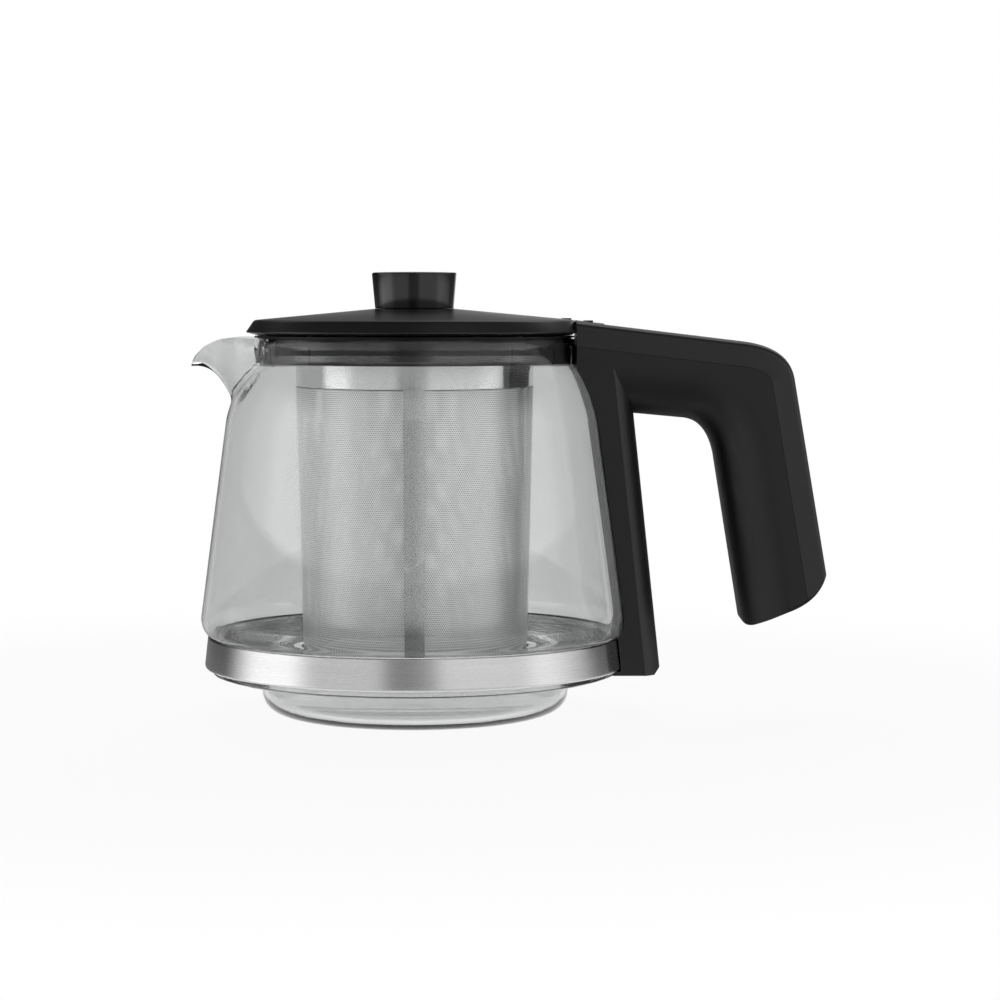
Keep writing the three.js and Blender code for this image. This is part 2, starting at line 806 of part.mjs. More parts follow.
function filterCollar() {
  const body = turned([
    [filterTopRadius + seatGap, collarFoot],
    [collarOuter, collarFoot],
    [collarOuter, rimHeight + seatGap],
    [lidRimRadius, rimHeight + seatGap],
    [lidRimRadius, collarTop],
    [collarInner, collarTop],
    [collarInner, ledgeTop],
    [filterTopRadius + seatGap, ledgeTop],
  ]);
  const slitAngle = THREE.MathUtils.radToDeg(slitWidth / collarOuter);
  const outside = collarOuter + overrun;
  const slits = latchSectors(
    frontPanelHalfAngle - slitAngle / 2, frontPanelHalfAngle + slitAngle / 2,
    collarInner - seatGap, outside, collarFoot - overrun, windowBottom,
  );
  const windows = latchSectors(
    windowInnerAngle, windowOuterAngle, collarInner - overrun, outside, windowBottom, windowTop,
  );
  const latchFace = collarOuter - latchDepth;
  const recesses = latchSectors(windowInnerAngle, windowOuterAngle, latchFace, outside, latchFoot, latchTop);
  const legFoot = latchFoot - latchLegHeight;
  const innerLegEnd = windowInnerAngle + latchLegAngle;
  const outerLegEnd = windowOuterAngle - latchLegAngle;
  const innerLegs = latchSectors(windowInnerAngle, innerLegEnd, latchFace, outside, legFoot, latchTop);
  const outerLegs = latchSectors(outerLegEnd, windowOuterAngle, latchFace, outside, legFoot, latchTop);
  const tabEdges = latchSectors(
    tabOuterAngle, tabOuterAngle + slitAngle, latchFace, outside, collarFoot - overrun, windowBottom,
  );
  const cuts = [slits, windows, recesses, innerLegs, outerLegs, tabEdges, pourSlots()];
  return cuts.reduce((rest, cut) => rest.subtract(cut), body);
}

function pourSlots() {
  const slots = [];
  for (let i = 0; i < pourSlotCount; i += 1) {
    const turn = (i - (pourSlotCount - 1) / 2) * pourSlotPitch / collarOuter;
    const slot = block(
      -collarOuter - overrun, -collarInner + overrun,
      -pourSlotWidth / 2, pourSlotWidth / 2,
      pourSlotBottom, pourSlotTop,
    );
    slots.push(slot.rotate([0, 0, THREE.MathUtils.radToDeg(turn)]));
  }
  return slots.reduce((sum, next) => sum.add(next));
}

function filterRadiusAt(height) {
  const share = (collarFoot - height) / (collarFoot - filterFoot);
  return filterTopRadius - (filterTopRadius - filterFootRadius) * share;
}

// A tapering sheet wall that follows the filter, a given distance outside it
function filterWall(bottom, top, offset, sheet) {
  return turned([
    [filterRadiusAt(bottom) + offset - sheet, bottom],
    [filterRadiusAt(bottom) + offset, bottom],
    [filterRadiusAt(top) + offset, top],
    [filterRadiusAt(top) + offset - sheet, top],
  ], fineSides);
}

function filterTopBand() {
  const flangeOuter = filterTopRadius + filterFlangeWidth;
  return turned([
    [filterRadiusAt(filterBandFoot) - filterSheet, filterBandFoot],
    [filterRadiusAt(filterBandFoot), filterBandFoot],
    [filterTopRadius, ledgeTop + seatGap],
    [flangeOuter, ledgeTop + seatGap],
    [flangeOuter, flangeTop],
    [filterTopRadius - filterSheet, flangeTop],
  ], fineSides);
}

// A ring over the filter flange, with a lip that stands on the ledge of the collar
function filterRetainer() {
  const plate = flangeTop + seatGap;
  const inner = filterTopRadius + filterFlangeWidth + seatGap;
  return turned([
    [inner, ledgeTop + seatGap],
    [inner + retainerWidth, ledgeTop + seatGap],
    [inner + retainerWidth, plate + retainerHeight],
    [filterTopRadius, plate + retainerHeight],
    [filterTopRadius, plate],
    [inner, plate],
  ], fineSides);
}

function filterMeshWall() {
  return filterWall(filterRimTop + seatGap, filterBandFoot - seatGap, 0, filterSheet);
}

function filterSeamStrip() {
  const strip = filterWall(filterRimTop, filterBandFoot, seatGap + seamStripSheet, seamStripSheet);
  const half = seamStripWidth / 2;
  const reach = filterTopRadius + seamStripWidth;
  return strip.intersect(block(seamStripOffset - half, seamStripOffset + half, -reach, 0, 0, collarTop));
}

function filterBottomRim() {
  return turned([
    [filterFootRadius - filterRimWidth, filterFoot],
    [filterFootRadius, filterFoot],
    [filterRadiusAt(filterRimTop), filterRimTop],
    [filterRadiusAt(filterRimTop) - filterSheet, filterRimTop],
    [filterFootRadius - filterSheet, filterFoot + filterSheet],
    [filterFootRadius - filterRimWidth, filterFoot + filterSheet],
  ], fineSides);
}

function filterBottomMesh() {
  return disc(filterFootRadius - filterRimWidth - seatGap, filterFoot, filterFoot + filterSheet);
}

// Lid

const lidSlope = (lidCrownHeight - lidRimHeight) / (lidRimRadius - knobFootRadius);

function lidTopAt(radius) {
  return lidRimHeight + (lidRimRadius - radius) * lidSlope;
}

function lidCover() {
  const hole = knobStemRadius + seatGap;
  const seatInner = lidSeatRadius - lidSeatWidth;
  const flatForHandle = block(lidRimRadius, gripTipX, -gripTipX, gripTipX, collarFoot, knobTop);
  const shell = turned([
    [hole, lidCrownHeight - lidWall],
    [knobFootRadius, lidCrownHeight - lidWall],
    [seatInner, lidTopAt(seatInner) - lidWall],
    [seatInner, lidSeatHeight],
    [lidSeatRadius, lidSeatHeight],
    [lidBevelRadius, lidBevelHeight],
    [lidRimRadius, lidRimHeight],
    [knobFootRadius, lidCrownHeight],
    [hole, lidCrownHeight],
  ]);
  const markEnd = lidRimRadius - markWidth;
  const markStart = markEnd - markLength;
  const mark = block(
    markStart, markEnd, -markWidth / 2, markWidth / 2,
    lidTopAt(markEnd) - overrun, lidTopAt(markStart) + markHeight / 2,
  );
  return shell.subtract(flatForHandle).add(mark);
}

function lidPlug() {
  const top = lidTopAt(plugRadius) - lidWall - seatGap;
  return turned([
    [0, plugBottom],
    [plugRadius, plugBottom],
    [plugRadius, sealBottom],
    [plugRadius - sealGrooveDepth, sealBottom],
    [plugRadius - sealGrooveDepth, sealBottom + sealHeight],
    [plugRadius, sealBottom + sealHeight],
    [plugRadius, top],
    [plugRadius - plugWall, top],
    [plugRadius - plugWall, plugBottom + plugWall],
    [0, plugBottom + plugWall],
  ], fineSides);
}

function lidSeal() {
  const inner = plugRadius - sealGrooveDepth + seatGap;
  const mouth = filterTopRadius - filterSheet - seatGap;
  const lowest = sealBottom + seatGap;
  const highest = sealBottom + sealHeight - seatGap;
  const middle = (lowest + highest) / 2;
  return turned([
    [inner, lowest],
    [plugRadius + seatGap, lowest],
    [mouth, middle - sealLip / 2],
    [mouth, middle + sealLip / 2],
    [plugRadius + seatGap, highest],
    [inner, highest],
  ], fineSides);
}

function lidKnob() {
  const stemFoot = lidCrownHeight - lidWall;
  const boreTop = knobScrewHead + knobScrewLength + seatGap;
  const bore = disc(screwRadius + seatGap, stemFoot - overrun, boreTop, screwSides);
  const body = turned([
    [0, stemFoot],
    [knobStemRadius, stemFoot],
    [knobStemRadius, knobFoot],
    [knobFootRadius, knobFoot],
    [knobTopRadius, knobTop - knobEdge - knobDome],
    [knobTopRadius - knobEdge / 4, knobTop - knobEdge / 3 - knobDome],
    [knobTopRadius - knobEdge, knobTop - knobDome],
    [knobTopRadius / 2, knobTop - knobDome / 4],
    [0, knobTop],
  ], fineSides);
  return body.subtract(bore);
}

function knobWasher() {
  const inner = screwRadius + seatGap;
  const outer = knobStemRadius + screwHeadRadius;
  return ring(inner, outer, washerTop - washerThickness, washerTop, fineSides);
}

// Materials and the assembled teapot

const finishes = {
  glass: { color: 0xdfe3e3, roughness: 0.03, metalness: 0, transparent: true, opacity: 0.35 },
  brushedSteel: { color: 0xc4c4c4, roughness: 0.32, metalness: 1 },
  perforatedSteel: { color: 0x9d9d9d, roughness: 0.4, metalness: 1 },
  fastenerSteel: { color: 0xa8a8a8, roughness: 0.35, metalness: 1 },
  blackFrame: { color: 0x171717, roughness: 0.45, metalness: 0 },
  blackCover: { color: 0x232323, roughness: 0.38, metalness: 0 },
  blackLid: { color: 0x1c1c1c, roughness: 0.5, metalness: 0 },
  glossBlack: { color: 0x080808, roughness: 0.12, metalness: 0 },
  silicone: { color: 0x303030, roughness: 0.7, metalness: 0 },
};

const teapot = new THREE.Group();

function addPiece(parent, name, body, finish) {
  const material = new THREE.MeshStandardMaterial(finishes[finish]);
  const mesh = new THREE.Mesh(geometryOf(body), material);
  mesh.name = name;
  parent.add(mesh);
  return mesh;
}

const jugAssembly = new THREE.Group();
addPiece(jugAssembly, 'glass_jug', glassJug(), 'glass');
addPiece(jugAssembly, 'base_band', baseBand(), 'brushedSteel');
addPiece(jugAssembly, 'handle_frame', handleFrame(), 'blackFrame');
addPiece(jugAssembly, 'handle_cover', handleCover(), 'blackCover');
addPiece(jugAssembly, 'handle_spine', handleSpine(), 'glossBlack');
addPiece(jugAssembly, 'strap_pad', strapPad(), 'silicone');

const footScrew = addPiece(jugAssembly, 'foot_screw', screwBody(footScrewLength), 'fastenerSteel');
footScrew.rotation.x = Math.PI;
footScrew.position.set(footScrewX, 0, footScrewHead);

for (const [name, place] of [
  ['cover_screw_upper', upperScrewPlace()],
  ['cover_screw_lower', lowerScrewPlace()],
]) {
  const screw = addPiece(jugAssembly, name, screwBody(coverScrewLength), 'fastenerSteel');
  screw.rotation.y = tilt(place.inward);
  screw.position.set(place.at.x, 0, place.at.y);
}

const filterAssembly = new THREE.Group();
addPiece(filterAssembly, 'filter_collar', filterCollar(), 'blackLid');
addPiece(filterAssembly, 'filter_retainer', filterRetainer(), 'blackLid');
addPiece(filterAssembly, 'filter_top_band', filterTopBand(), 'brushedSteel');
addPiece(filterAssembly, 'filter_mesh_wall', filterMeshWall(), 'perforatedSteel');
addPiece(filterAssembly, 'filter_seam_strip', filterSeamStrip(), 'brushedSteel');
addPiece(filterAssembly, 'filter_bottom_rim', filterBottomRim(), 'brushedSteel');
addPiece(filterAssembly, 'filter_bottom_mesh', filterBottomMesh(), 'perforatedSteel');

const lidAssembly = new THREE.Group();
addPiece(lidAssembly, 'lid_cover', lidCover(), 'blackLid');
addPiece(lidAssembly, 'lid_plug', lidPlug(), 'blackLid');
addPiece(lidAssembly, 'lid_seal', lidSeal(), 'silicone');
addPiece(lidAssembly, 'lid_knob', lidKnob(), 'glossBlack');
addPiece(lidAssembly, 'knob_washer', knobWasher(), 'fastenerSteel');

const knobScrew = addPiece(lidAssembly, 'knob_screw', screwBody(knobScrewLength), 'fastenerSteel');
knobScrew.rotation.x = Math.PI;
knobScrew.position.set(0, 0, knobScrewHead);

teapot.add(jugAssembly, filterAssembly, lidAssembly);

export default teapot;
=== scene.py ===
import math
from contextlib import contextmanager

import bmesh
import bpy
from bpy.props import FloatProperty, FloatVectorProperty, PointerProperty
from bpy.types import Operator, Panel, PropertyGroup, Scene
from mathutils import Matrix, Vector


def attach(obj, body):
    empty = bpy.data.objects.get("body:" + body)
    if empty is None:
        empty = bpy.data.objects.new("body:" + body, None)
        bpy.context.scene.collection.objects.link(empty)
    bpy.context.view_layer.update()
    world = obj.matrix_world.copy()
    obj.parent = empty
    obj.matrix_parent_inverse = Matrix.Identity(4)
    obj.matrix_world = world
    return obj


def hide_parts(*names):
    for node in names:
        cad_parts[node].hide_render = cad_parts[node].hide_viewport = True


bl_info = {
    "name": "Glass teapot",
    "version": (1, 0, 0),
    "blender": (4, 5, 0),
    "location": "3D View > Sidebar > Teapot",
    "description": "Builds a glass teapot with a steel filter, and its studio",
    "category": "Object",
}

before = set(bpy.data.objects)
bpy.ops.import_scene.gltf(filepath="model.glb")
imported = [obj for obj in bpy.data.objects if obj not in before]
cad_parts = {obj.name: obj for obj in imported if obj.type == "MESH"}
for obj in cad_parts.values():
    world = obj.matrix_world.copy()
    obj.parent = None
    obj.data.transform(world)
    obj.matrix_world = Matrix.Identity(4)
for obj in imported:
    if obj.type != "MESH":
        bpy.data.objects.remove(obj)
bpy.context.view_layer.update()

MM = 0.001


def mm(*values):
    """Lengths in metres from millimetres."""
    return [value * MM for value in values]


OVERLAP, GAP, CUT_ROOM, COLLAR_FOOT = mm(0.02, 0.3, 1, 122.8)
TURN = 2 * math.pi
FACETS = 192
SHARP = math.radians(28)


# Properties


def number(description, value, kind=FloatProperty, **more):
    """A property from nothing up that still waits for its name."""
    return lambda name: kind(name=name, description=description, default=value, min=0.0, **more)


def length(description, millimetres):
    """A size with its default in millimetres."""
    value = millimetres * MM
    return number(description, value, precision=5, subtype="DISTANCE", unit="LENGTH")


def factor(description, value):
    """A share between nothing and all."""
    return number(description, value, max=1.0, subtype="FACTOR")


def colour(description, value):
    """A linear colour."""
    return number(description, value, FloatVectorProperty, size=3, max=1.0, subtype="COLOR")


def named(group):
    """Gives each property of a group the name of its key, in words."""
    for key, make in group.__annotations__.items():
        group.__annotations__[key] = make(key.replace("_", " ").capitalize())
    return group


@named
class JugSettings(PropertyGroup):
    belly_radius: length("Widest radius of the glass", 74.9)
    shoulder_radius: length("Radius where the cone ends", 65.7)
    shoulder_height: length("Height where the cone ends", 104)
    neck_radius: length("Outer radius of the neck", 56.6)
    neck_height: length("Height where the neck begins", 121.4)
    rim_height: length("Height of the glass rim", 131.6)
    foot_radius: length("Outer radius of the stepped foot", 53.8)
    wall: length("Thickness of the glass", 2)
    spout_reach: length("Distance of the spout's tip from the axis", 78.2)
    spout_tip_height: length("Height of the spout's tip", 121.9)
    tint: colour("What one wall of glass lets through", (0.72, 0.725, 0.725))


@named
class BandSettings(PropertyGroup):
    top_radius: length("Radius at the upper edge", 72.6)
    foot_radius: length("Radius at the lower edge", 73.6)
    top_height: length("Height of the upper edge", 27.9)
    foot_height: length("Height where the lower roll begins", 18.2)
    sheet: length("Thickness of the steel", 0.8)
    roll: length("Size of the rolled edges", 1.3)
    steel: colour("Colour of the brushed steel", (0.78, 0.78, 0.78))


@named
class HandleSettings(PropertyGroup):
    half_width: length("Half the width of arm and grip", 18.5)
    edge: length("Round along the outer edges", 1.8)
    crown: length("How far the back is crowned", 0.9)
    finger_reach: length("Reach of the finger round along the side", 19)
    finger_depth: length("Depth of the finger round across the handle", 14)
    strap_chamfer_depth: length("Strap chamfer along the side", 5.4)
    strap_chamfer_width: length("Strap chamfer across the strap", 7)
    cover_depth: length("Depth of the outer cover", 9)
    cover_draft: length("How far the cover's sides lean in", 1.2)
    spine_depth: length("Depth of the strip along the back", 1.6)
    spine_half_width: length("Half the width of that strip", 10)
    frame_colour: colour("Colour of the inner half", (0.0035, 0.0035, 0.0037))
    cover_colour: colour("Colour of the outer half", (0.009, 0.009, 0.0095))


@named
class FilterSettings(PropertyGroup):
    top_radius: length("Radius under the collar", 41.7)
    foot_radius: length("Radius at the bottom", 39.2)
    foot_height: length("Height of the bottom over the table", 22)
    band_foot: length("Lower edge of the plain top band", 114.4)
    sheet: length("Thickness of the steel", 0.5)
    pitch: length("Distance between two holes", 0.76)
    hole: factor("Radius of a hole as a share of the pitch", 0.3)
    steel: colour("Colour of the perforated steel", (0.95, 0.95, 0.95))


@named
class LidSettings(PropertyGroup):
    rim_radius: length("Radius where the cone meets the bevel", 55.9)
    rim_height: length("Height where the cone meets the bevel", 138)
    bevel_radius: length("Radius at the foot of the bevel", 58.8)
    bevel_height: length("Height at the foot of the bevel", 133.7)
    crown_height: length("Height of the cone under the knob", 141.9)
    knob_top_radius: length("Radius at the knob's top", 14.9)
    knob_foot_radius: length("Radius at the knob's foot", 13.8)
    knob_top: length("Height of the knob's top", 154.9)
    flat: length("Distance of the handle's flat from the axis", 55.9)
    colour: colour("Colour of the lid and the collar", (0.005, 0.005, 0.0052))
    knob_colour: colour("Colour of the gloss knob", (0.003, 0.003, 0.0032))


@named
class StudioSettings(PropertyGroup):
    background: colour("What stands behind the teapot", (1.0, 1.0, 1.0))
    walls: number("Strength of the pale walls on both sides", 1.2)
    inside: number("How much stronger the room is through glass", 2.6)
    front: factor("Brightness of the room in front of the teapot", 0.12)
    high_front: number("Strength of the high front light", 0.5)
    back: factor("Brightness of the back of the room", 0.9)
    below: factor("Brightness under the table's edge", 0.2)
    top_light: number("Power of the top light", 3.0, unit="POWER")
    floor: colour("Colour of the floor", (0.92, 0.92, 0.92))
    floor_radius: length("How far the floor reaches", 420)
    floor_share: factor("How much of the floor shows against the background", 0.08)


SETTINGS = {
    "teapot_jug": JugSettings, "teapot_band": BandSettings, "teapot_handle": HandleSettings,
    "teapot_filter": FilterSettings, "teapot_lid": LidSettings, "teapot_studio": StudioSettings,
}


# Shader expressions


def arithmetic(operation, turned=False):
    """A method that makes a maths node of a term and another value."""

    def method(self, *others):
        values = (*others, self) if turned else (self, *others)
        return self.paint.node("ShaderNodeMath", {"operation": operation}, dict(enumerate(values)))

    return method


class Term:
    """A socket that can be used like a number or a vector in a sum."""

    __add__ = arithmetic("ADD")
    __radd__ = arithmetic("ADD", turned=True)
    __sub__ = arithmetic("SUBTRACT")
    __rsub__ = arithmetic("SUBTRACT", turned=True)
    __mul__ = arithmetic("MULTIPLY")
    __rmul__ = arithmetic("MULTIPLY", turned=True)
    __truediv__ = arithmetic("DIVIDE")
    root = arithmetic("SQRT")
    fraction = arithmetic("FRACT")
    least = arithmetic("MINIMUM")
    most = arithmetic("MAXIMUM")
    turn_from = arithmetic("ARCTAN2")

    def __init__(self, paint, socket):
        self.paint = paint
        self.socket = socket

    def ramp(self, low, high, start=0.0, end=1.0):
        """Turns low..high smoothly into start..end."""
        return self.paint.node(
            "ShaderNodeMapRange",
            {"interpolation_type": "SMOOTHSTEP"},
            {"Value": self, "From Min": low, "From Max": high, "To Min": start, "To Max": end},
        )


class Paint:
    """A new material or world and its node tree."""

    def __init__(self, name, kind="materials"):
        self.owner = getattr(bpy.data, kind).new(name)
        self.owner.use_nodes = True
        self.tree = self.owner.node_tree
        self.tree.nodes.clear()

    def node(self, kind, settings=None, inputs=None, output=0):
        """Makes a node, with its settings first and then its values and links."""
        made = self.tree.nodes.new(kind)
        for key, value in (settings or {}).items():
            setattr(made, key, value)
        for key, value in (inputs or {}).items():
            socket = made.inputs[key]
            if isinstance(value, Term):
                self.tree.links.new(value.socket, socket)
            elif socket.type == "RGBA" and len(value) == 3:
                socket.default_value = (*value, 1.0)
            else:
                socket.default_value = value
        return Term(self, made.outputs[output]) if made.outputs else None

    def parts(self, vector):
        """The X, Y and Z of a vector."""
        inputs = {"Vector": vector}
        return [self.node("ShaderNodeSeparateXYZ", inputs=inputs, output=axis) for axis in "XYZ"]

    def place(self):
        """Where a point is on the part at rest, in metres, as three terms and a vector."""
        spot = self.node("ShaderNodeTexCoord", output="Object")
        return (*self.parts(spot), spot)

    def vector(self, x, y, z):
        return self.node("ShaderNodeCombineXYZ", inputs={"X": x, "Y": y, "Z": z})

    def noise(self, spot, scale, detail=2.0, roughness=0.5):
        inputs = {"Vector": spot, "Scale": scale, "Detail": detail, "Roughness": roughness}
        return self.node("ShaderNodeTexNoise", inputs=inputs)

    def mix(self, share, first, second):
        inputs = {"Factor": share, "A": first, "B": second}
        return self.node("ShaderNodeMix", {"data_type": "RGBA"}, inputs, "Result")

    def bump(self, height, strength, millimetres):
        inputs = {"Height": height, "Strength": strength, "Distance": millimetres * MM}
        return self.node("ShaderNodeBump", inputs=inputs, output="Normal")

    def ray(self, kind):
        """One for the rays of a kind and nothing for the others."""
        return self.node("ShaderNodeLightPath", output=f"Is {kind} Ray")

    def blend(self, share, first, second):
        """Two shaders, the second by its share."""
        return self.node("ShaderNodeMixShader", inputs={0: share, 1: first, 2: second})

    def shader(self, inputs):
        return self.node("ShaderNodeBsdfPrincipled", inputs=inputs)

    def out(self, surface, kind="Material"):
        """Links the surface to the output and gives back the material or the world."""
        self.node("ShaderNodeOutput" + kind, inputs={"Surface": surface})
        return self.owner

    def solid(self, inputs):
        """A material of one principled shader."""
        return self.out(self.shader(inputs))


def scaled(tone, share):
    return tuple(share * channel for channel in tone)


def grained_black(name, tone, roughness, gloss=0.5):
    """Moulded plastic: fine grain, slow changes of gloss and a few paler specks."""
    paint = Paint(name)
    spot = paint.place()[3]
    fine = paint.noise(spot, 2600.0, 2.0, 0.6)
    slow = paint.noise(spot, 28.0, 3.0)
    wear = paint.noise(spot, 420.0, 4.0, 0.7)
    pale = tuple(min(1.0, channel * 1.7 + 0.002) for channel in tone)
    return paint.solid({
        "Base Color": paint.mix(wear.ramp(0.58, 0.8) * 0.12, tone, pale),
        "Roughness": roughness - 0.05 + slow * 0.1,
        "IOR": 1.5,
        "Specular IOR Level": gloss,
        "Normal": paint.bump(fine, 0.5, 0.02),
    })


def gloss_black(name, tone):
    """Polished plastic with faint wipe marks."""
    paint = Paint(name)
    x, y, z, spot = paint.place()
    slow = paint.noise(spot, 60.0, 3.0)
    streak = paint.noise(paint.vector(x, y, z * 0.15), 260.0, 2.0)
    return paint.solid({
        "Base Color": paint.mix(slow, tone, scaled(tone, 1.6)),
        "Roughness": 0.07 + slow * 0.05 + streak * 0.04,
        "IOR": 1.52,
        "Normal": paint.bump(slow, 0.12, 0.2),
    })


def turned_place(paint, radius):
    """How far round, how high and how far out a point lies, for brushing and holes."""
    x, y, z, spot = paint.place()
    return y.turn_from(x) * radius, z, (x * x + y * y).root(), spot


def brushed_steel(name, tone, radius, roughness=0.27, across=3500.0, grain=0.1):
    """Steel brushed round its axis: long fine lines that spread light up and down."""
    paint = Paint(name)
    round_way, height, out, spot = turned_place(paint, radius)
    lines = paint.noise(paint.vector(round_way * 0.012, height, out), across, 4.0, 0.65)
    broad = paint.noise(paint.vector(round_way * 0.05, height, out), across * 0.12, 2.0)
    slow = paint.noise(spot, 35.0, 2.0)
    dark = scaled(tone, 1 - 1.8 * grain)
    return paint.solid({
        "Base Color": paint.mix(lines * 0.6 + broad * 0.4, dark, tone),
        "Metallic": 1.0,
        "Anisotropic": 0.9,
        "Anisotropic Rotation": 0.25,
        "Roughness": roughness - 0.02 + (lines - 0.5) * grain + slow * 0.04,
        "Normal": paint.bump(lines, grain, 0.03),
    })


def hole_mask(along, up, pitch, hole):
    """One inside the holes of a staggered pattern, nothing on the steel."""
    row_height = math.sqrt(3.0)
    edge = 0.03

    def lattice(shift):
        u = (along / pitch + shift).fraction() - 0.5
        v = ((up / (pitch * row_height) + shift).fraction() - 0.5) * row_height
        return (u * u + v * v).root()

    return lattice(0.0).least(lattice(0.5)).ramp(hole - edge, hole + edge, 1.0, 0.0)


def perforated_steel(name, settings, flat=False):
    """Thin steel with a staggered pattern of holes, and a painted shade on the side turned inward."""
    paint = Paint(name)
    middle = (settings.top_radius + settings.foot_radius) / 2
    holes_round = round(TURN * middle / settings.pitch)
    round_way, height, out, spot = turned_place(paint, holes_round * settings.pitch / TURN)
    slope = (settings.top_radius - settings.foot_radius) / (COLLAR_FOOT - settings.foot_height)
    depth = settings.foot_radius + (height - settings.foot_height) * slope - out
    # Painted shade: the inner face of the sheet is blended up to 65 % of the way to a dark steel tone.
    shade = depth.ramp(0.3 * settings.sheet, 0.7 * settings.sheet, 0.0, 0.65)
    if flat:
        round_way, height = paint.place()[:2]
        shade = 0.0
    slow = paint.noise(spot, 90.0, 3.0)
    outer = paint.mix(slow, scaled(settings.steel, 0.92), settings.steel)
    return paint.solid({
        "Base Color": paint.mix(shade, outer, scaled(settings.steel, 0.12)),
        "Metallic": 0.55,
        "Roughness": 0.36 + slow * 0.1,
        "Alpha": 1.0 - hole_mask(round_way, height, settings.pitch, settings.hole),
        "Normal": paint.bump(slow, 0.1, 0.3),
    })


def clear_glass(name, tint):
    """Blown glass: a light grey tint that varies a little, and slow waves."""
    paint = Paint(name)
    wave_radius = 70 * MM
    round_way, height, _, spot = turned_place(paint, wave_radius)
    wave = paint.noise(paint.vector(round_way, height * 0.18, 0.0), 55.0, 2.0)
    slow = paint.noise(spot, 40.0, 2.0)
    glass = paint.shader({
        "Base Color": paint.mix(slow, scaled(tint, 0.97), tint),
        "Roughness": 0.0,
        "IOR": 1.4,
        "Transmission Weight": 1.0,
        "Normal": paint.bump(wave, 0.02, 1.2),
    })
    clear = paint.node("ShaderNodeBsdfTransparent", inputs={"Color": tint})
    return paint.out(paint.blend(paint.ray("Shadow"), glass, clear))


def soft_rubber(name, tone):
    """Matt silicone with a fine bloom."""
    paint = Paint(name)
    bloom = paint.noise(paint.place()[3], 300.0, 3.0)
    return paint.solid({
        "Base Color": paint.mix(bloom, tone, scaled(tone, 1.5)),
        "Roughness": 0.62 + bloom * 0.15,
        "Normal": paint.bump(bloom, 0.2, 0.05),
    })


# Outlines and meshes


def at_share(points, share):
    """A point on a curve of any degree."""
    level = [Vector(p) for p in points]
    while len(level) > 1:
        level = [a.lerp(b, share) for a, b in zip(level, level[1:])]
    return level[0]


def at(across, up):
    """A point given in millimetres."""
    return Vector((across, up)) * MM


def trace(start, *moves, steps=10):
    """An outline: a pair is the end of a line, a list holds a curve's controls and end."""
    points = [Vector(start)]
    for move in moves:
        if isinstance(move, list):
            curve = [points[-1], *move]
            points += [at_share(curve, i / steps) for i in range(1, steps + 1)]
        else:
            points.append(Vector(move))
    return points


@contextmanager
def opened(mesh):
    """A mesh that is open for changes and written back at the end."""
    bm = bmesh.new()
    bm.from_mesh(mesh)
    yield bm
    bm.to_mesh(mesh)
    bm.free()


def mesh_of(vertices, faces):
    mesh = bpy.data.meshes.new("mesh")
    mesh.from_pydata(vertices, [], faces)
    with opened(mesh) as bm:
        bmesh.ops.remove_doubles(bm, verts=bm.verts, dist=1e-7)
        bmesh.ops.recalc_face_normals(bm, faces=bm.faces)
    return mesh


def quads(rows, columns, bands, sides):
    """Faces between neighbouring rows of a grid of points, which close on themselves."""
    faces = []
    for r in range(bands):
        low, high = r * columns, (r + 1) % rows * columns
        for i in range(sides):
            j = (i + 1) % columns
            faces.append((low + i, low + j, high + j, high + i))
    return faces


def lathe(profile, sides, start=0.0, sweep=TURN):
    """A profile of radius and height turned about Z; it closes on itself or on the axis."""
    whole = sweep > TURN - 1e-6
    columns = sides if whole else sides + 1
    rows = [Vector(p) for p in profile]
    on_axis = rows[0].x < 1e-9 and rows[-1].x < 1e-9
    vertices = []
    for row in rows:
        for i in range(columns):
            turn = start + sweep * i / sides
            vertices.append((row.x * math.cos(turn), row.x * math.sin(turn), row.y))
    faces = quads(len(rows), columns, len(rows) - 1 if on_axis else len(rows), sides)
    if not whole:
        ends = [r * columns for r in range(len(rows))]
        faces += [ends, [e + sides for e in reversed(ends)]]
    return mesh_of(vertices, faces)


def box_mesh(half_width, low, high):
    """A box across Y, between two corners in X and Z."""
    sides = (-half_width, half_width)
    corners = [(x, y, z) for x in (low[0], high[0]) for y in sides for z in (low[1], high[1])]
    faces = [(0, 1, 3, 2), (4, 6, 7, 5), (0, 4, 5, 1), (2, 3, 7, 6), (0, 2, 6, 4), (1, 5, 7, 3)]
    return mesh_of(corners, faces)


def moved_inward(outline, distance):
    """A closed outline with each corner moved along its mitre."""
    area = sum(a.x * b.y - b.x * a.y for a, b in zip(outline, outline[1:] + outline[:1]))
    side = 1.0 if area > 0 else -1.0
    made = []
    for i, point in enumerate(outline):
        before = (point - outline[i - 1]).normalized()
        after = (outline[(i + 1) % len(outline)] - point).normalized()
        first = Vector((-before.y, before.x)) * side
        second = Vector((-after.y, after.x)) * side
        made.append(point + (first + second) * distance / (1 + first.dot(second)))
    return made


def rounded_edge(size, width, steps, swell=1.0):
    """Pairs of inward move and height lost across Y; swell 1 is a round and 0 a chamfer."""
    pairs = []
    for k in range(steps + 1):
        share = k / steps
        turn = math.pi / 2 * share
        inward = swell * math.sin(turn) + (1 - swell) * share
        lost = 1 - swell * math.cos(turn) - (1 - swell) * (1 - share)
        pairs.append((size * (1 - inward), width * lost))
    return pairs


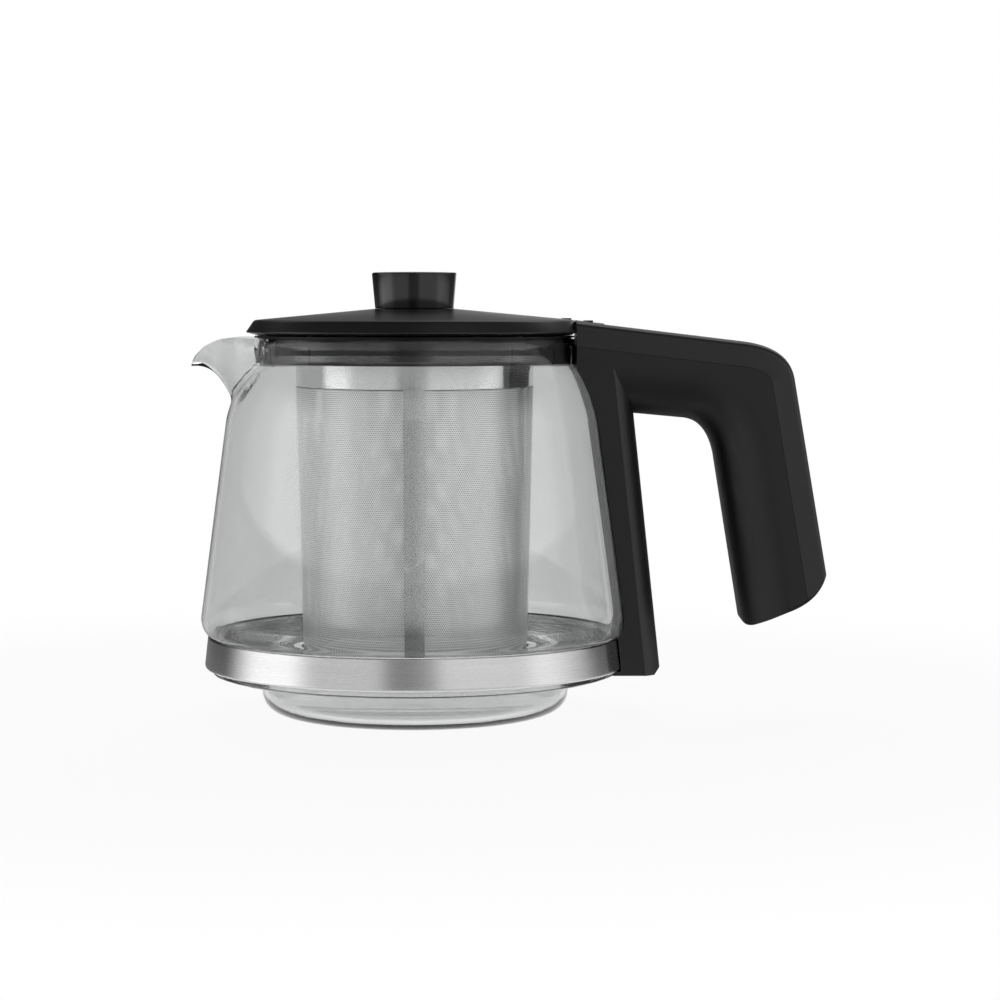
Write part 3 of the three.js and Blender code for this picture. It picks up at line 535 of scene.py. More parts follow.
def plate(outline, half_width, pairs=((0.0, 0.0),)):
    """An outline in X and Z made thick along Y, with the edge that the pairs give."""
    loops = [(moved_inward(outline, inward), half_width - lost) for inward, lost in pairs]
    rings = loops + [(loop, -y) for loop, y in reversed(loops)]
    count = len(outline)
    vertices = [(p.x, y, p.y) for loop, y in rings for p in loop]
    faces = quads(len(rings), count, len(rings) - 1, count)
    faces.append(list(range(count)))
    faces.append([(len(rings) - 1) * count + i for i in reversed(range(count))])
    mesh = mesh_of(vertices, faces)
    with opened(mesh) as bm:
        bmesh.ops.triangulate(bm, faces=[f for f in bm.faces if len(f.verts) > 4])
    return mesh


def placed(name, data):
    """A new object in the scene."""
    obj = bpy.data.objects.new(name, data)
    bpy.context.scene.collection.objects.link(obj)
    return obj


def carve(base, other, operation="DIFFERENCE"):
    """Cuts, joins or intersects two closed meshes."""
    first, second = placed("base", base), placed("other", other)
    modifier = first.modifiers.new("carve", "BOOLEAN")
    modifier.operation = operation
    modifier.solver = "EXACT"
    modifier.object = second
    bpy.context.view_layer.update()
    result = bpy.data.meshes.new_from_object(
        first.evaluated_get(bpy.context.evaluated_depsgraph_get())
    )
    for obj in (first, second):
        bpy.data.objects.remove(obj)
    return result


def piece(name, mesh, material, body, slot, *nodes):
    """Stands for CAD nodes, rides on their body, has the material it is given and is smooth between
    edges.
    """
    mesh.name = name
    mesh.materials.clear()
    mesh.materials.append(material)
    with opened(mesh) as bm:
        for edge in bm.edges:
            edge.smooth = edge.calc_face_angle(0.0) < SHARP
        for face in bm.faces:
            face.smooth = True
    obj = placed(name, mesh)
    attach(obj, body)
    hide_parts(*nodes)


def dress(material, *nodes):
    """Gives CAD nodes a material and smooth shading between their real edges."""
    for node in nodes:
        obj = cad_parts[node]
        obj.data.materials.clear()
        obj.data.materials.append(material)
        for polygon in obj.data.polygons:
            polygon.use_smooth = True
        obj.modifiers.new("weld", "WELD").merge_threshold = 1e-6
        obj.modifiers.new("edges", "EDGE_SPLIT").split_angle = SHARP


# The glass


def vessel(jug, inset, neck_inset, floor):
    """One face of the glass from the axis to the neck; inset 0 is the outside."""
    corner_width, corner_height, step_height, step_fillet = mm(13, 9, 13.6, 1.4)
    lip_height, lip_top, bowl_sag, waist_fillet = mm(15.2, 17.2, 1, 2)
    seat, belly_height, undercut, fillet = mm(28.3, 34.4, 2.6, 1.8)
    lip_radius, waist = jug.belly_radius - 4.1 * MM, jug.belly_radius - 4.9 * MM
    foot, lip, belly = jug.foot_radius - inset, lip_radius - inset, jug.belly_radius - inset
    step, top = step_height + inset, jug.neck_height
    shoulder, neck = jug.shoulder_radius - inset, jug.neck_radius - neck_inset
    middle = (jug.shoulder_radius + jug.neck_radius) / 2 + fillet - inset
    return trace(
        (0, floor), (jug.foot_radius - corner_width, floor), [(foot, floor), (foot, corner_height)],
        (foot, step - step_fillet), [(foot, step), (foot + step_fillet, step)],
        [(lip - bowl_sag, step), (lip, lip_height + inset)], (lip, lip_top + inset),
        (waist - inset, lip_top + inset + lip_radius - waist), (waist - inset, seat - waist_fillet),
        [(waist - inset, seat), (belly - undercut, seat)],
        [(belly, seat + waist_fillet), (belly, belly_height)], (shoulder, jug.shoulder_height),
        [(middle, (jug.shoulder_height + top) / 2 + fillet), (neck + fillet, top)],
        [(neck, top + fillet), (neck, top + 2 * fillet)],
        steps=8,
    )


class Beak:
    """The pouring beak: a trough of half ellipses that narrows toward its tip."""

    wall, neck_wall = mm(1.8, 1.7)
    root_half_width, tip_half_width = mm(24, 3.2)
    taper = 1.2
    crest_rise, middle_rise = mm(0.8, 1)
    rim_overhang, rim_swell, rim_dip = mm(0.4, 1.1, 2.2)

    def __init__(self, jug):
        crest = jug.rim_height + self.crest_rise
        brim = jug.neck_radius + self.rim_overhang
        inner = jug.neck_radius - self.neck_wall
        tip = (jug.spout_reach, jug.spout_tip_height)
        self.middle = crest + self.middle_rise
        self.under = [
            (inner - jug.wall, jug.shoulder_height - 4 * jug.wall),
            (jug.shoulder_radius, jug.shoulder_height + self.wall),
            (jug.shoulder_radius - self.wall / 2, jug.spout_tip_height + self.wall), tip,
        ]
        self.rim = [
            (brim - jug.wall, jug.rim_height), ((brim + jug.spout_reach) / 2, crest + self.rim_swell),
            (jug.spout_reach - jug.wall, jug.rim_height - self.rim_dip), tip,
        ]

    def crossing(self, curve, x):
        """The share and the height of a curve at a distance from the axis."""
        low, high = 0.0, 1.0
        for _ in range(24):
            share = (low + high) / 2
            if at_share(curve, share).x < x:
                low = share
            else:
                high = share
        return low, at_share(curve, low).y

    def lowest(self, x, y, inset):
        """The height of the trough's face under a point, endless beside the trough."""
        share, height = self.crossing(self.under, max(x, self.under[0][0]))
        half = self.tip_half_width
        half += (self.root_half_width - self.tip_half_width) * (1 - share) ** self.taper - inset
        depth = self.middle - height - inset
        across = abs(y) / half
        if across >= 1:
            return math.inf
        return self.middle - depth * math.sqrt(1 - across * across)

    def cut(self, x):
        """The height of the rim line at a distance from the axis."""
        if x < self.rim[0][0]:
            return self.rim[0][1]
        return self.crossing(self.rim, x)[1]


def resampled(points, count):
    """The same line with evenly spaced points."""
    lengths = [0.0]
    for a, b in zip(points, points[1:]):
        lengths.append(lengths[-1] + (b - a).length)
    made = []
    k = 0
    for i in range(count):
        goal = lengths[-1] * i / (count - 1)
        while k < len(lengths) - 2 and lengths[k + 1] < goal:
            k += 1
        span = lengths[k + 1] - lengths[k]
        made.append(points[k].lerp(points[k + 1], (goal - lengths[k]) / span if span else 0.0))
    return made


def relaxed(points, rounds):
    """The same line with its corners softened and its ends kept."""
    for _ in range(rounds):
        inner = [(a + 2 * b + c) / 4 for a, b, c in zip(points, points[1:], points[2:])]
        points = points[:1] + inner + points[-1:]
    return points


def flank(beak, wall_line, turn, inset):
    """The line of the glass at one angle: up the wall, and out along the beak where it is."""
    across, along = abs(math.sin(turn)), math.cos(turn)
    beak_starts, step, count = 0.7, 0.25 * MM, 90
    line = []
    for point in resampled(wall_line, count):
        if along > beak_starts and point.y > beak.lowest(point.x * along, point.x * across, inset):
            break
        line.append(point)
    else:
        return line
    reach = line[-1].x
    while True:
        reach += step
        low = beak.lowest(reach * along, reach * across, inset)
        rim = beak.cut(reach * along)
        if low >= rim or reach * along > beak.under[-1][0]:
            break
        line.append(Vector((reach, low)))
    if line[-1].y < rim <= low < math.inf:
        before, after = line[-1], Vector((reach, low))
        share = (rim - before.y) / max(after.y - before.y, 1e-9)
        line.append(before.lerp(after, min(1.0, share)))
    elif low == math.inf:
        line.append(Vector((reach - step, rim)))
    return line


def glass_mesh(jug):
    """The whole vessel, outside and inside, with the beak drawn out of the neck."""
    beak = Beak(jug)
    floor, neck_start, round_off = 2.6 * MM, jug.shoulder_height - 8 * MM, 0.6 * MM
    rows, softenings = 64, 10
    # Degrees from the beak: half ones, then whole ones, then 54 wider steps to the back.
    half = [0.5 * i for i in range(13)] + [6 + 1.0 * i for i in range(1, 31)]
    half += [36 + (180 - 36) * i / 54 for i in range(1, 54)]
    turns = [math.radians(d) for d in half + [180] + [-d for d in reversed(half[1:])]]

    def face(inset, neck_inset, bottom, turn_in, steps):
        radius, rim = jug.neck_radius - neck_inset, jug.rim_height
        edge = trace((radius, rim - round_off), [(radius, rim), (radius + turn_in, rim)], steps=steps)
        line = vessel(jug, inset, neck_inset, bottom) + edge
        low = [p for p in line if p.y < neck_start or p.x < jug.foot_radius]
        high = line[len(low):]
        share = (neck_start - low[-1].y) / (high[0].y - low[-1].y)
        return low, [low[-1].lerp(high[0], share)] + high

    outside = face(0.0, 0.0, 0.0, -round_off, 5)
    inside = face(jug.wall, beak.neck_wall, floor, round_off, 4)
    vertices = []
    for turn in turns:
        column = []
        for (low, high), inset in ((outside, 0.0), (inside, beak.wall)):
            upper = relaxed(resampled(flank(beak, high, turn, inset), rows), softenings)
            column.append(low + upper)
        column = column[0] + column[1][::-1]
        for point in column:
            vertices.append((-point.x * math.cos(turn), -point.x * math.sin(turn), point.y))
    return mesh_of(vertices, quads(len(turns), len(column), len(turns), len(column) - 1))


# The handle


class HandleLines:
    """Places of the handle's outline in the plane of X and Z."""

    arm_corner = at(114, 131)
    shoulder = at(130.3, 129.1)
    grip_top = at(132.2, 117.8)
    grip_tip = at(143.1, 53.4)
    tip_curve = at(142.4, 42)
    tip_foot = at(130.2, 37.3)
    grip_foot = at(118.4, 32.5)
    heel = at(114.4, 31)
    inner_foot = at(113.6, 35.2)
    inner_top = at(104.6, 91)
    inner_corner = at(102.1, 103.8)
    underarm = at(92.3, 104.2)
    strap_top = at(76, 105.7)
    strap_foot = at(85.3, 18)
    strap_bottom = 15.2 * MM
    lid_rim = at(55.9, 138)
    root = 47.4 * MM
    spine_start = 66 * MM

    arm_run = (arm_corner - lid_rim).normalized()
    grip_run = (grip_tip - grip_top).normalized()

    def back(self, depth):
        """The back line moved inward by a depth, with long straight ends."""
        arm_in = Vector((self.arm_run.y, -self.arm_run.x))
        grip_in = Vector((self.grip_run.y, -self.grip_run.x))
        corner = self.arm_corner + arm_in * depth
        grip = self.grip_top + grip_in * depth
        shoulder = self.shoulder + (arm_in + grip_in) * depth / (1 + arm_in.dot(grip_in))
        reach = self.arm_corner.x - self.root
        start = corner - self.arm_run * reach
        end = grip + self.grip_run * (reach + self.grip_top.y - self.grip_tip.y)
        return start, corner, shoulder, grip, end


def behind_back(lines, handle, depth):
    """All that lies behind the back line once it is moved inward."""
    start, corner, shoulder, grip, end = lines.back(depth)
    far_x = lines.grip_tip.x + handle.half_width + depth
    far_z = lines.lid_rim.y + handle.half_width + depth
    outline = trace(
        start, corner, [shoulder, grip], end, (far_x, end.y), (far_x, far_z), (start.x, far_z),
        steps=24,
    )
    return plate(outline, handle.half_width + CUT_ROOM)


def drafted_sides(lines, handle):
    """All inside the back line: sides that lean in toward it, round edges and a crowned back."""
    start, corner, shoulder, grip, end = lines.back(OVERLAP)
    near = start.x - 2 * handle.cover_depth
    outline = trace(start, corner, [shoulder, grip], end, (near, end.y), (near, start.y), steps=24)
    crown, edge, half = handle.crown, handle.edge, handle.half_width
    lean = handle.cover_draft * (1 - (crown + edge) / handle.cover_depth)
    pairs = [(handle.cover_depth, 0.0)]
    pairs += [(crown + inward, lean + lost) for inward, lost in rounded_edge(edge, edge, 8)]
    rise, steps = half - lean - edge, 12
    shares = [k / steps for k in range(1, steps + 1)]
    pairs += [(crown * (1 - share) ** 2, lean + edge + rise * share) for share in shares]
    return plate(outline, half + OVERLAP, pairs)


def strap(lines, handle):
    """The chamfered strap down the jug, with its toe cut off."""
    chamfer = handle.strap_chamfer_depth
    inside, toe, toe_depth = mm(0.2, 2.8, 3)
    half = handle.half_width - inside
    top, foot, bottom = lines.strap_top, lines.strap_foot, lines.strap_bottom
    lean = (foot.x - top.x) / (top.y - foot.y)
    low, high = bottom - chamfer - CUT_ROOM, lines.lid_rim.y - handle.cover_depth
    outline = trace(
        (lines.root - chamfer, low), (foot.x + (foot.y - low) * lean, low),
        (top.x - (high - top.y) * lean, high), (lines.root - chamfer, high),
    )
    edge = rounded_edge(chamfer, handle.strap_chamfer_width, 6, 0.45)
    below = box_mesh(handle.half_width, (0, low - toe_depth), (lines.grip_tip.x, bottom))
    under = bottom - CUT_ROOM
    corner = trace((foot.x - toe, under), (foot.x + toe, under), (foot.x + toe, foot.y + toe))
    return carve(carve(plate(outline, half, edge), below), plate(corner, half + CUT_ROOM))


def whole_handle(lines, handle, jug, lid_flat):
    """Arm, grip and strap in one, before the seam is cut."""
    start, half, reach = lines.back(0.0)[0], handle.half_width, 2 * handle.finger_reach
    neck, rim = jug.neck_radius, jug.rim_height
    grip = trace(
        start, lines.arm_corner, [lines.shoulder, lines.grip_top], lines.grip_tip,
        [lines.tip_curve, lines.tip_foot], lines.grip_foot, [lines.heel, lines.inner_foot],
        lines.inner_top, [lines.inner_corner, lines.underarm], lines.strap_top,
        (start.x, lines.strap_top.y),
        steps=24,
    )
    body = plate(grip, half, rounded_edge(handle.edge, handle.edge, 6))
    low = lines.inner_top + (lines.inner_foot - lines.inner_top) * 2
    near, far, high = lines.root - reach, lines.grip_tip.x + reach, lines.lid_rim.y + reach
    slope = (lines.strap_top.y - lines.underarm.y) / (lines.underarm.x - lines.strap_top.x)
    fingers = trace(
        (near, high), (far, high), (far, low.y), low, lines.inner_top,
        [lines.inner_corner, lines.underarm],
        (near, lines.strap_top.y + slope * (lines.strap_top.x - near)),
        steps=18,
    )
    finger_edge = rounded_edge(handle.finger_reach, handle.finger_depth, 24)
    body = carve(body, plate(fingers, half, finger_edge), "INTERSECT")
    body = carve(body, drafted_sides(lines, handle), "INTERSECT")
    body = carve(body, strap(lines, handle), "UNION")
    rim_start, rim_end, rim_room, above = mm(2.5, 1.4, 0.7, 15)
    room = vessel(jug, -GAP, -GAP, -GAP)
    room += trace(
        (neck + GAP, rim - rim_start), (neck + rim_room, rim - rim_end), (neck + rim_room, rim + GAP),
        (0, rim + GAP),
    )
    body = carve(body, lathe(room, FACETS))
    band_room = [at(0, 16.6), at(73.9, 16.6), at(73.9, 18.2), at(72.9, 28.2), at(0, 28.2)]
    body = carve(body, lathe(band_room, FACETS))
    lid_room = (0, jug.neck_height), (lid_flat + GAP, lines.lid_rim.y + above)
    return carve(body, box_mesh(half + CUT_ROOM, *lid_room))


# The other pieces


def build_band(scene):
    band = scene.teapot_band
    top, foot, high = band.top_radius, band.foot_radius, band.top_height
    roll, sheet = band.roll, band.sheet
    bottom = band.foot_height - roll
    lip, bulge = mm(71.1, 0.05)
    profile = trace(
        (top - sheet, high), (top - roll / 2, high),
        [(top, high), (top, high - roll / 2)], (foot, band.foot_height),
        [(foot + bulge, bottom), (foot - roll, bottom)], (lip, bottom), (lip, bottom + sheet),
        (foot - roll, bottom + sheet), (foot - sheet, band.foot_height + roll / 4),
        steps=8,
    )
    lug_start, lug_end, lug_half = foot - 1.2 * MM, 83.4 * MM, 5 * MM
    lug_foot, lug_top = mm(20, 22)
    lug = box_mesh(lug_half, (lug_start, lug_foot), (lug_end, lug_top))
    mesh = carve(lathe(profile, FACETS), lug, "UNION")
    material = brushed_steel("band_steel", band.steel, foot)
    piece("base_ring", mesh, material, "jug", "brushed_steel", "base_band")


def build_handle(scene):
    handle, lines = scene.teapot_handle, HandleLines()
    whole = whole_handle(lines, handle, scene.teapot_jug, scene.teapot_lid.flat)
    depth, far = handle.cover_depth, 170 * MM
    tongue = handle.half_width - 2.5 * MM
    groove = carve(behind_back(lines, handle, depth - GAP / 6), box_mesh(tongue, (0, 0), (far, far)))
    screw_x = 79.45 * MM
    screw = lathe([at(0, 12), at(3.3, 12), at(3.3, 17.4), at(0, 17.4)], 32)
    for vertex in screw.vertices:
        vertex.co.x += screw_x
    frame_mesh = carve(whole.copy(), behind_back(lines, handle, depth - GAP / 3))
    frame_mesh = carve(carve(frame_mesh, groove), screw)

    def spine_room(clearance):
        reach = handle.spine_half_width + clearance
        box = box_mesh(reach, (lines.spine_start - clearance, 0), (far, far))
        return carve(behind_back(lines, handle, handle.spine_depth + clearance), box, "INTERSECT")

    behind_seam = behind_back(lines, handle, depth - GAP / 2)
    cover_mesh = carve(carve(whole.copy(), behind_seam, "INTERSECT"), spine_room(GAP / 2))
    mark_gap, mark_length, mark_half, mark_depth, mark_rise = mm(3, 3.4, 0.6, 1, 0.2)
    x, z = lines.lid_rim.x + mark_gap, lines.lid_rim.y + lines.arm_run.y * mark_gap
    mark_low, mark_high = (x, z - mark_depth), (x + mark_length, z + mark_rise)
    cover_mesh = carve(cover_mesh, box_mesh(mark_half, mark_low, mark_high), "UNION")
    spine_mesh = carve(whole, spine_room(0.0), "INTERSECT")
    frame_black = grained_black("frame_black", handle.frame_colour, 0.42)
    cover_black = grained_black("cover_black", handle.cover_colour, 0.36)
    spine_black = gloss_black("spine_black", handle.frame_colour)
    piece("handle_inner", frame_mesh, frame_black, "jug", "black_frame", "handle_frame")
    piece("handle_outer", cover_mesh, cover_black, "jug", "black_cover", "handle_cover")
    piece("handle_strip", spine_mesh, spine_black, "jug", "gloss_black", "handle_spine")
    dress(soft_rubber("pad_rubber", (0.05, 0.05, 0.05)), "strap_pad")


def build_filter(scene):
    f = scene.teapot_filter
    top, foot, sheet = f.top_radius, f.foot_radius, f.sheet
    rim_top = f.foot_height + 2.6 * MM
    ledge = COLLAR_FOOT + 2 * MM + GAP
    sides = 144

    def radius(height):
        return top - (top - foot) * (COLLAR_FOOT - height) / (COLLAR_FOOT - f.foot_height)

    def wall(low, high, inner, outer):
        corners = (low, inner), (low, outer), (high, outer), (high, inner)
        return [(radius(height) + out, height) for height, out in corners]

    def part(name, mesh, node, material, slot="brushed_steel"):
        piece(name, mesh, material, "filter", slot, node)

    steel = brushed_steel("filter_steel", (0.68, 0.68, 0.68), top, 0.18, grain=0.02)
    taper, bend, under, step = mm(0.1, 1, 0.6, 0.5)
    flange = top + 2.6 * MM
    band = trace(
        (radius(f.band_foot) - sheet, f.band_foot), (radius(f.band_foot), f.band_foot),
        (top - taper, ledge - bend), [(top, ledge), (top + bend, ledge)], (flange, ledge),
        (flange, ledge + sheet), (top + step, ledge + sheet),
        [(top - sheet, ledge + sheet), (top - sheet, ledge - under)],
        steps=5,
    )
    part("filter_band", lathe(band, sides), "filter_top_band", steel)

    holes = perforated_steel("wall_steel", f)
    sieve = wall(rim_top + GAP, f.band_foot - GAP, -sheet, 0.0)
    part("filter_sieve", lathe(sieve, sides), "filter_mesh_wall", holes, "perforated_steel")

    half, aside = 3.5 * MM / top, 1 * MM / top
    seam = wall(rim_top, f.band_foot, GAP, GAP + 0.5 * MM)
    seam = lathe(seam, 10, aside - math.pi / 2 - half, 2 * half)
    part("filter_seam", seam, "filter_seam_strip", steel)

    floor, inner = f.foot_height, foot - 4.4 * MM
    fold, inner_fold, lean = mm(0.9, 1.1, 0.02)
    rim = trace(
        (inner, floor), (foot - fold, floor), [(foot, floor), (foot + lean, floor + fold)],
        (radius(rim_top), rim_top), (radius(rim_top) - sheet, rim_top),
        (foot - sheet, floor + sheet + step), (foot - inner_fold, floor + sheet),
        (inner, floor + sheet),
        steps=5,
    )
    part("filter_rim", lathe(rim, sides), "filter_bottom_rim", steel)
    dress(perforated_steel("floor_steel", f, flat=True), "filter_bottom_mesh")


def build_lid(scene):
    lid = scene.teapot_lid
    black = grained_black("lid_black", lid.colour, 0.32)
    rim, rim_height = lid.rim_radius, lid.rim_height
    bevel, bevel_height = lid.bevel_radius, lid.bevel_height
    foot, wall, hole = lid.knob_foot_radius, 2.2 * MM, 5.3 * MM
    seat_radius, seat_inner, seat_height = mm(55, 52, 132.8)
    round_size, bevel_lean, rim_out, rim_in, rim_drop = mm(0.5, 0.28, 0.5, 0.9, 0.75)
    slope = (lid.crown_height - rim_height) / (rim - foot)

    def top(radius):
        return rim_height + (rim - radius) * slope

    profile = trace(
        (hole, lid.crown_height - wall), (foot, lid.crown_height - wall),
        (seat_inner, top(seat_inner) - wall), (seat_inner, seat_height), (seat_radius, seat_height),
        (bevel - round_size, bevel_height - round_size / 6),
        [(bevel, bevel_height), (bevel - bevel_lean, bevel_height + round_size)],
        (rim + rim_out, rim_height - rim_drop), [(rim, rim_height), (rim - rim_in, top(rim - rim_in))],
        (foot, lid.crown_height), (hole, lid.crown_height),
        steps=6,
    )
    mesh = lathe(profile, FACETS)
    for vertex in mesh.vertices:
        vertex.co.x = min(vertex.co.x, lid.flat)
    mark_half, mark_depth, mark_rise = mm(0.6, 1, 0.2)
    mark_end = rim - 1.2 * MM
    mark_start = mark_end - 3.4 * MM
    mark_low = (mark_start, top(mark_end) - mark_depth)
    mark_high = (mark_end, top(mark_start) + mark_rise)
    mesh = carve(mesh, box_mesh(mark_half, mark_low, mark_high), "UNION")
    piece("lid_shell", mesh, black, "lid", "black_lid", "lid_cover")
    dress(black, "lid_plug")
    dress(soft_rubber("seal_rubber", (0.03, 0.03, 0.03)), "lid_seal")


def build_knob(scene):
    lid = scene.teapot_lid
    edge, dome, draft, fold, fold_height, lean = mm(0.8, 0.4, 0.04, 0.3, 0.4, 0.03)
    foot, stem, bore, bore_top = lid.crown_height + 0.05 * MM, 5 * MM, 1.9 * MM, 148 * MM
    stem_foot = lid.crown_height - 2.2 * MM
    wide, narrow, top = lid.knob_top_radius, lid.knob_foot_radius, lid.knob_top
    profile = trace(
        (0, bore_top), (bore, bore_top), (bore, stem_foot), (stem, stem_foot), (stem, foot),
        (narrow - fold, foot), [(narrow, foot), (narrow + lean, foot + fold_height)],
        (wide - draft, top - edge - dome), [(wide, top - dome), (wide - edge, top - dome)],
        [(wide / 2, top), (0, top)],
        steps=10,
    )
    gloss = gloss_black("knob_black", lid.knob_colour)
    piece("knob_body", lathe(profile, 128), gloss, "lid", "gloss_black", "lid_knob")


# The studio


def make_floor(studio):
    """A pale disc that fades out, with a painted shadow under the foot; away is in millimetres."""
    reach, sides, drop = studio.floor_radius, 96, 0.1 * MM
    turns = [TURN * i / sides for i in range(sides)]
    points = [(reach * math.cos(turn), reach * math.sin(turn), 0) for turn in turns]
    mesh = mesh_of(points, [list(range(sides))])
    paint = Paint("floor")
    x, y, _, spot = paint.place()
    away = (x * x + y * y).root() / MM
    # Painted shadow under the foot: the floor's colour is dark within 35 mm of the axis, darkest at
    # the centre, with a paler ring near 24 mm.
    middle = away.ramp(9, 24, 0.04, 0.34).least(away.ramp(26, 31, 0.34, 0.1))
    outside_painted_shadow = away.ramp(33, 35)
    tone = middle + outside_painted_shadow * (studio.floor[0] - middle)
    matt = paint.shader({
        "Base Color": paint.vector(tone, tone, tone),
        "Roughness": 0.75 + paint.noise(spot, 50.0) * 0.1,
        "Specular IOR Level": 0.2,
    })
    clear = paint.node("ShaderNodeBsdfTransparent")
    fade = reach / MM
    share = away.ramp(0.4 * fade, 0.95 * fade, studio.floor_share, 0.0)
    # The floor is nearly opaque under the foot, so that the painted shadow shows through the glass.
    share = share.most(away.ramp(33, 35, 0.95, 0.0))
    pale = paint.node("ShaderNodeEmission", inputs={"Color": studio.background})
    mirrored = paint.ray("Glossy") * away.ramp(80, 100, 1.0, 0.0)
    surface = paint.blend(mirrored, paint.blend(share, clear, matt), pale)
    mesh.materials.append(paint.out(surface))
    floor = placed("floor", mesh)
    floor.location.z = -drop


def make_lamp(studio):
    light = bpy.data.lights.new("top_softbox", "AREA")
    light.size = 0.8
    light.energy = studio.top_light
    lamp = placed("top_softbox", light)
    lamp.location = (0.05, 0.5, 0.9)
    aim = Vector((0.02, 0.0, 0.08)) - lamp.location
    lamp.rotation_euler = aim.to_track_quat("-Z", "Y").to_euler()
    lamp.visible_glossy = False


def make_room(studio):
    """Broad pale walls left and right, a dim wall in front and a grey one behind.

    A ramp's first two numbers are parts of the direction, its last two the strength there.
    """
    paint = Paint("room", "worlds")
    way = paint.node("ShaderNodeTexCoord", output="Generated")
    side, back, up = paint.parts(way)
    level = (side * side + back * back).root()
    facing = back / level.most(0.01)
    left = facing.ramp(-0.99, -0.94, 0.12, 0.6) + facing.ramp(-0.6, -0.3, 0, 0.8)
    left = left * facing.ramp(0.05, 0.6, 1, 0)
    right = facing.ramp(-0.99, -0.95, 0.15, 0.6) + facing.ramp(-0.5, -0.25, 0, 0.4)
    right = right * facing.ramp(-0.2, 0.5, 1, 0.3) * facing.ramp(0.3, 0.6, 1, 0)
    walls = (left + side.ramp(-0.05, 0.05) * (right - left)) * studio.walls
    # The belt is the height of the walls, with a dark notch that the neck mirrors.
    belt = up.ramp(-0.55, -0.4, 0, 1) * up.ramp(0.35, 0.55, 1, 0.05)
    belt = belt * (1.0 - 0.95 * up.ramp(-0.065, -0.045) * up.ramp(0.03, 0.05, 1, 0))
    low_back = back.ramp(0.8, 0.97) * up.ramp(0.06, 0.2, studio.back, 0.1 * studio.back)
    low_back = low_back * side.ramp(-0.25, 0.08, 0.05, 1.9)
    high_back = back.ramp(0.3, 0.7) * up.ramp(0.4, 0.6) * studio.back
    high_back = high_back * side.ramp(-0.3, 0.3, 0.5, 1.2)
    high_front = back.ramp(-0.45, -0.6) * up.ramp(0.4, 0.5) * up.ramp(0.6, 0.7, 1, 0)
    front = side.ramp(0, 0.2, studio.front, 3 * studio.front)
    front = front * back.ramp(-0.5, 0, 1, 0.3) + high_front * studio.high_front
    ground = up.ramp(-0.12, 0, 0, 1)
    grey = walls * belt + (low_back + high_back + front) * ground
    grey = grey + (1 - ground) * studio.below
    through = paint.ray("Transmission")
    grey = grey * (1.0 + through * (studio.inside - 1))
    through = through * back.ramp(-0.1, 0.2).most(up.ramp(-0.25, -0.05, 1, 0))
    lit = paint.node("ShaderNodeBackground", inputs={"Color": paint.vector(grey, grey, grey)})
    white = paint.node("ShaderNodeBackground", inputs={"Color": studio.background})
    seen = paint.ray("Camera").most(through)
    bpy.context.scene.world = paint.out(paint.blend(seen, lit, white), "World")


def make_camera():
    lens = bpy.data.cameras.new("camera")
    lens.lens = 102.35
    lens.sensor_width = 36.0
    camera = placed("camera", lens)
    camera.location = (0.02982, -0.99505, 0.1447)
    camera.rotation_euler = (math.pi / 2 - 0.07, 0.0, 0.0)
    bpy.context.scene.camera = camera


# Operators


class TEAPOT_OT_glass(Operator):
    """Builds the blown glass jug with its beak"""

    bl_idname = "teapot.glass"
    bl_label = "Glass jug"

    def execute(self, context):
        jug = context.scene.teapot_jug
        material = clear_glass("glass", jug.tint)
        piece("glass_vessel", glass_mesh(jug), material, "jug", "glass", "glass_jug")
        return {"FINISHED"}


class TEAPOT_OT_band(Operator):
    """Builds the steel band round the base"""

    bl_idname = "teapot.band"
    bl_label = "Base band"

    def execute(self, context):
        build_band(context.scene)
        return {"FINISHED"}


class TEAPOT_OT_handle(Operator):
    """Builds the handle's frame, cover and spine"""

    bl_idname = "teapot.handle"
    bl_label = "Handle"

    def execute(self, context):
        build_handle(context.scene)
        return {"FINISHED"}


class TEAPOT_OT_collar(Operator):
    """Dresses the collar and the retainer that hold the filter"""

    bl_idname = "teapot.collar"
    bl_label = "Filter collar"

    def execute(self, context):
        tone = context.scene.teapot_lid.colour
        dress(grained_black("collar_black", tone, 0.3, 0.2), "filter_collar", "filter_retainer")
        return {"FINISHED"}


class TEAPOT_OT_filter(Operator):
    """Builds the steel filter with its bands, perforated wall, seam and bottom"""

    bl_idname = "teapot.filter"
    bl_label = "Filter"

    def execute(self, context):
        build_filter(context.scene)
        return {"FINISHED"}


class TEAPOT_OT_lid(Operator):
    """Builds the lid's cover and dresses its plug and seal"""

    bl_idname = "teapot.lid"
    bl_label = "Lid"

    def execute(self, context):
        build_lid(context.scene)
        return {"FINISHED"}


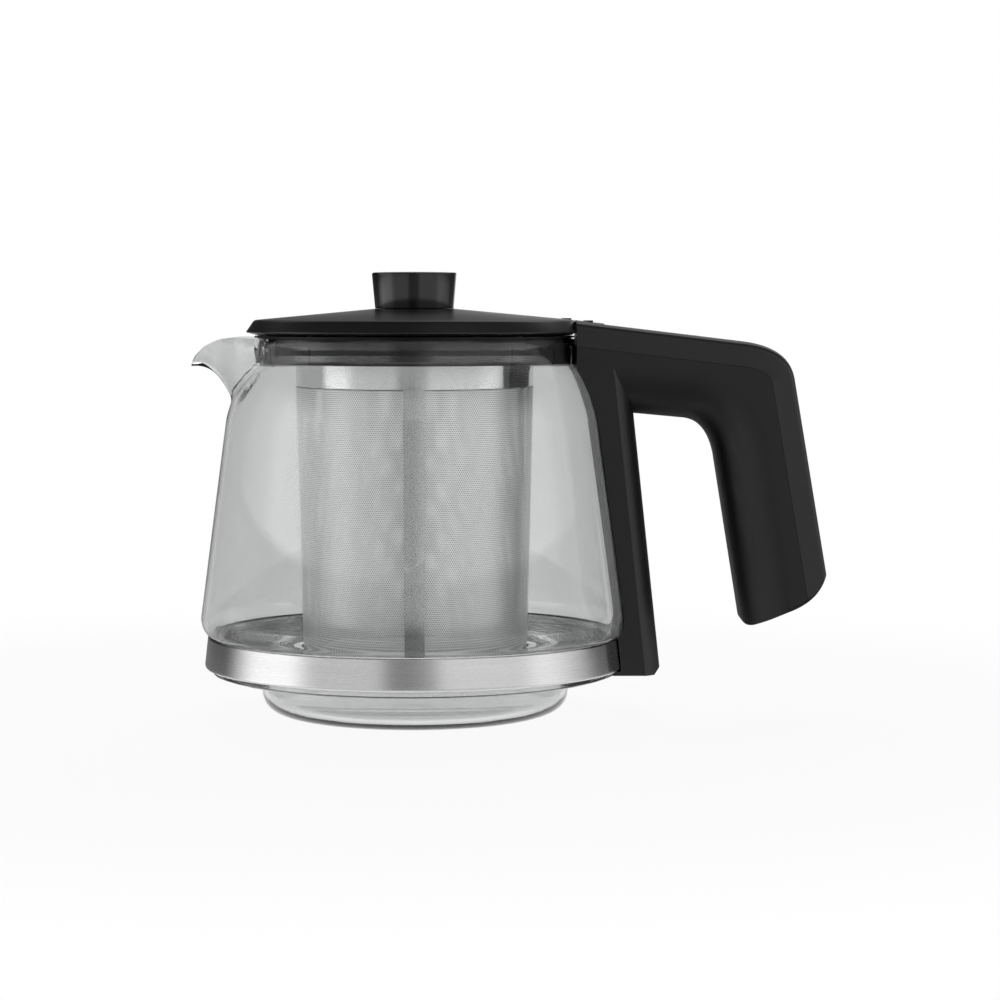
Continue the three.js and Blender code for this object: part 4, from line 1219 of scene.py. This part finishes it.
class TEAPOT_OT_knob(Operator):
    """Builds the gloss knob"""

    bl_idname = "teapot.knob"
    bl_label = "Knob"

    def execute(self, context):
        build_knob(context.scene)
        return {"FINISHED"}


class TEAPOT_OT_fasteners(Operator):
    """Dresses the screws and the washer"""

    bl_idname = "teapot.fasteners"
    bl_label = "Screws and washer"

    def execute(self, context):
        steel = brushed_steel("screw_steel", (0.45, 0.45, 0.45), 3 * MM, 0.3, 4000.0)
        covers = ("cover_screw_upper", "cover_screw_lower")
        dress(steel, "foot_screw", *covers, "knob_screw", "knob_washer")
        return {"FINISHED"}


class TEAPOT_OT_stage(Operator):
    """Sets the floor, the lights, the room and the camera"""

    bl_idname = "teapot.stage"
    bl_label = "Studio"

    def execute(self, context):
        studio = context.scene.teapot_studio
        make_floor(studio)
        make_lamp(studio)
        make_room(studio)
        make_camera()
        context.scene.view_settings.view_transform = "Standard"
        return {"FINISHED"}


OPERATORS = (
    TEAPOT_OT_glass, TEAPOT_OT_band, TEAPOT_OT_handle, TEAPOT_OT_collar, TEAPOT_OT_filter,
    TEAPOT_OT_lid, TEAPOT_OT_knob, TEAPOT_OT_fasteners, TEAPOT_OT_stage,
)


class TEAPOT_PT_panel(Panel):
    """Lists the steps and the sizes of the teapot"""

    bl_idname = "TEAPOT_PT_panel"
    bl_label = "Glass teapot"
    bl_space_type = "VIEW_3D"
    bl_region_type = "UI"
    bl_category = "Teapot"

    def draw(self, context):
        for operator in OPERATORS:
            self.layout.operator(operator.bl_idname)
        for name, group in SETTINGS.items():
            box = self.layout.box()
            values = getattr(context.scene, name)
            for key in group.__annotations__:
                box.prop(values, key)


CLASSES = (*SETTINGS.values(), *OPERATORS, TEAPOT_PT_panel)


def register():
    for made in CLASSES:
        bpy.utils.register_class(made)
    for name, group in SETTINGS.items():
        setattr(Scene, name, PointerProperty(type=group))


def unregister():
    for name in SETTINGS:
        delattr(Scene, name)
    for made in reversed(CLASSES):
        bpy.utils.unregister_class(made)


def main():
    register()
    for operator in OPERATORS:
        group, name = operator.bl_idname.split(".")
        getattr(getattr(bpy.ops, group), name)()


if __name__ == "__main__":
    main()
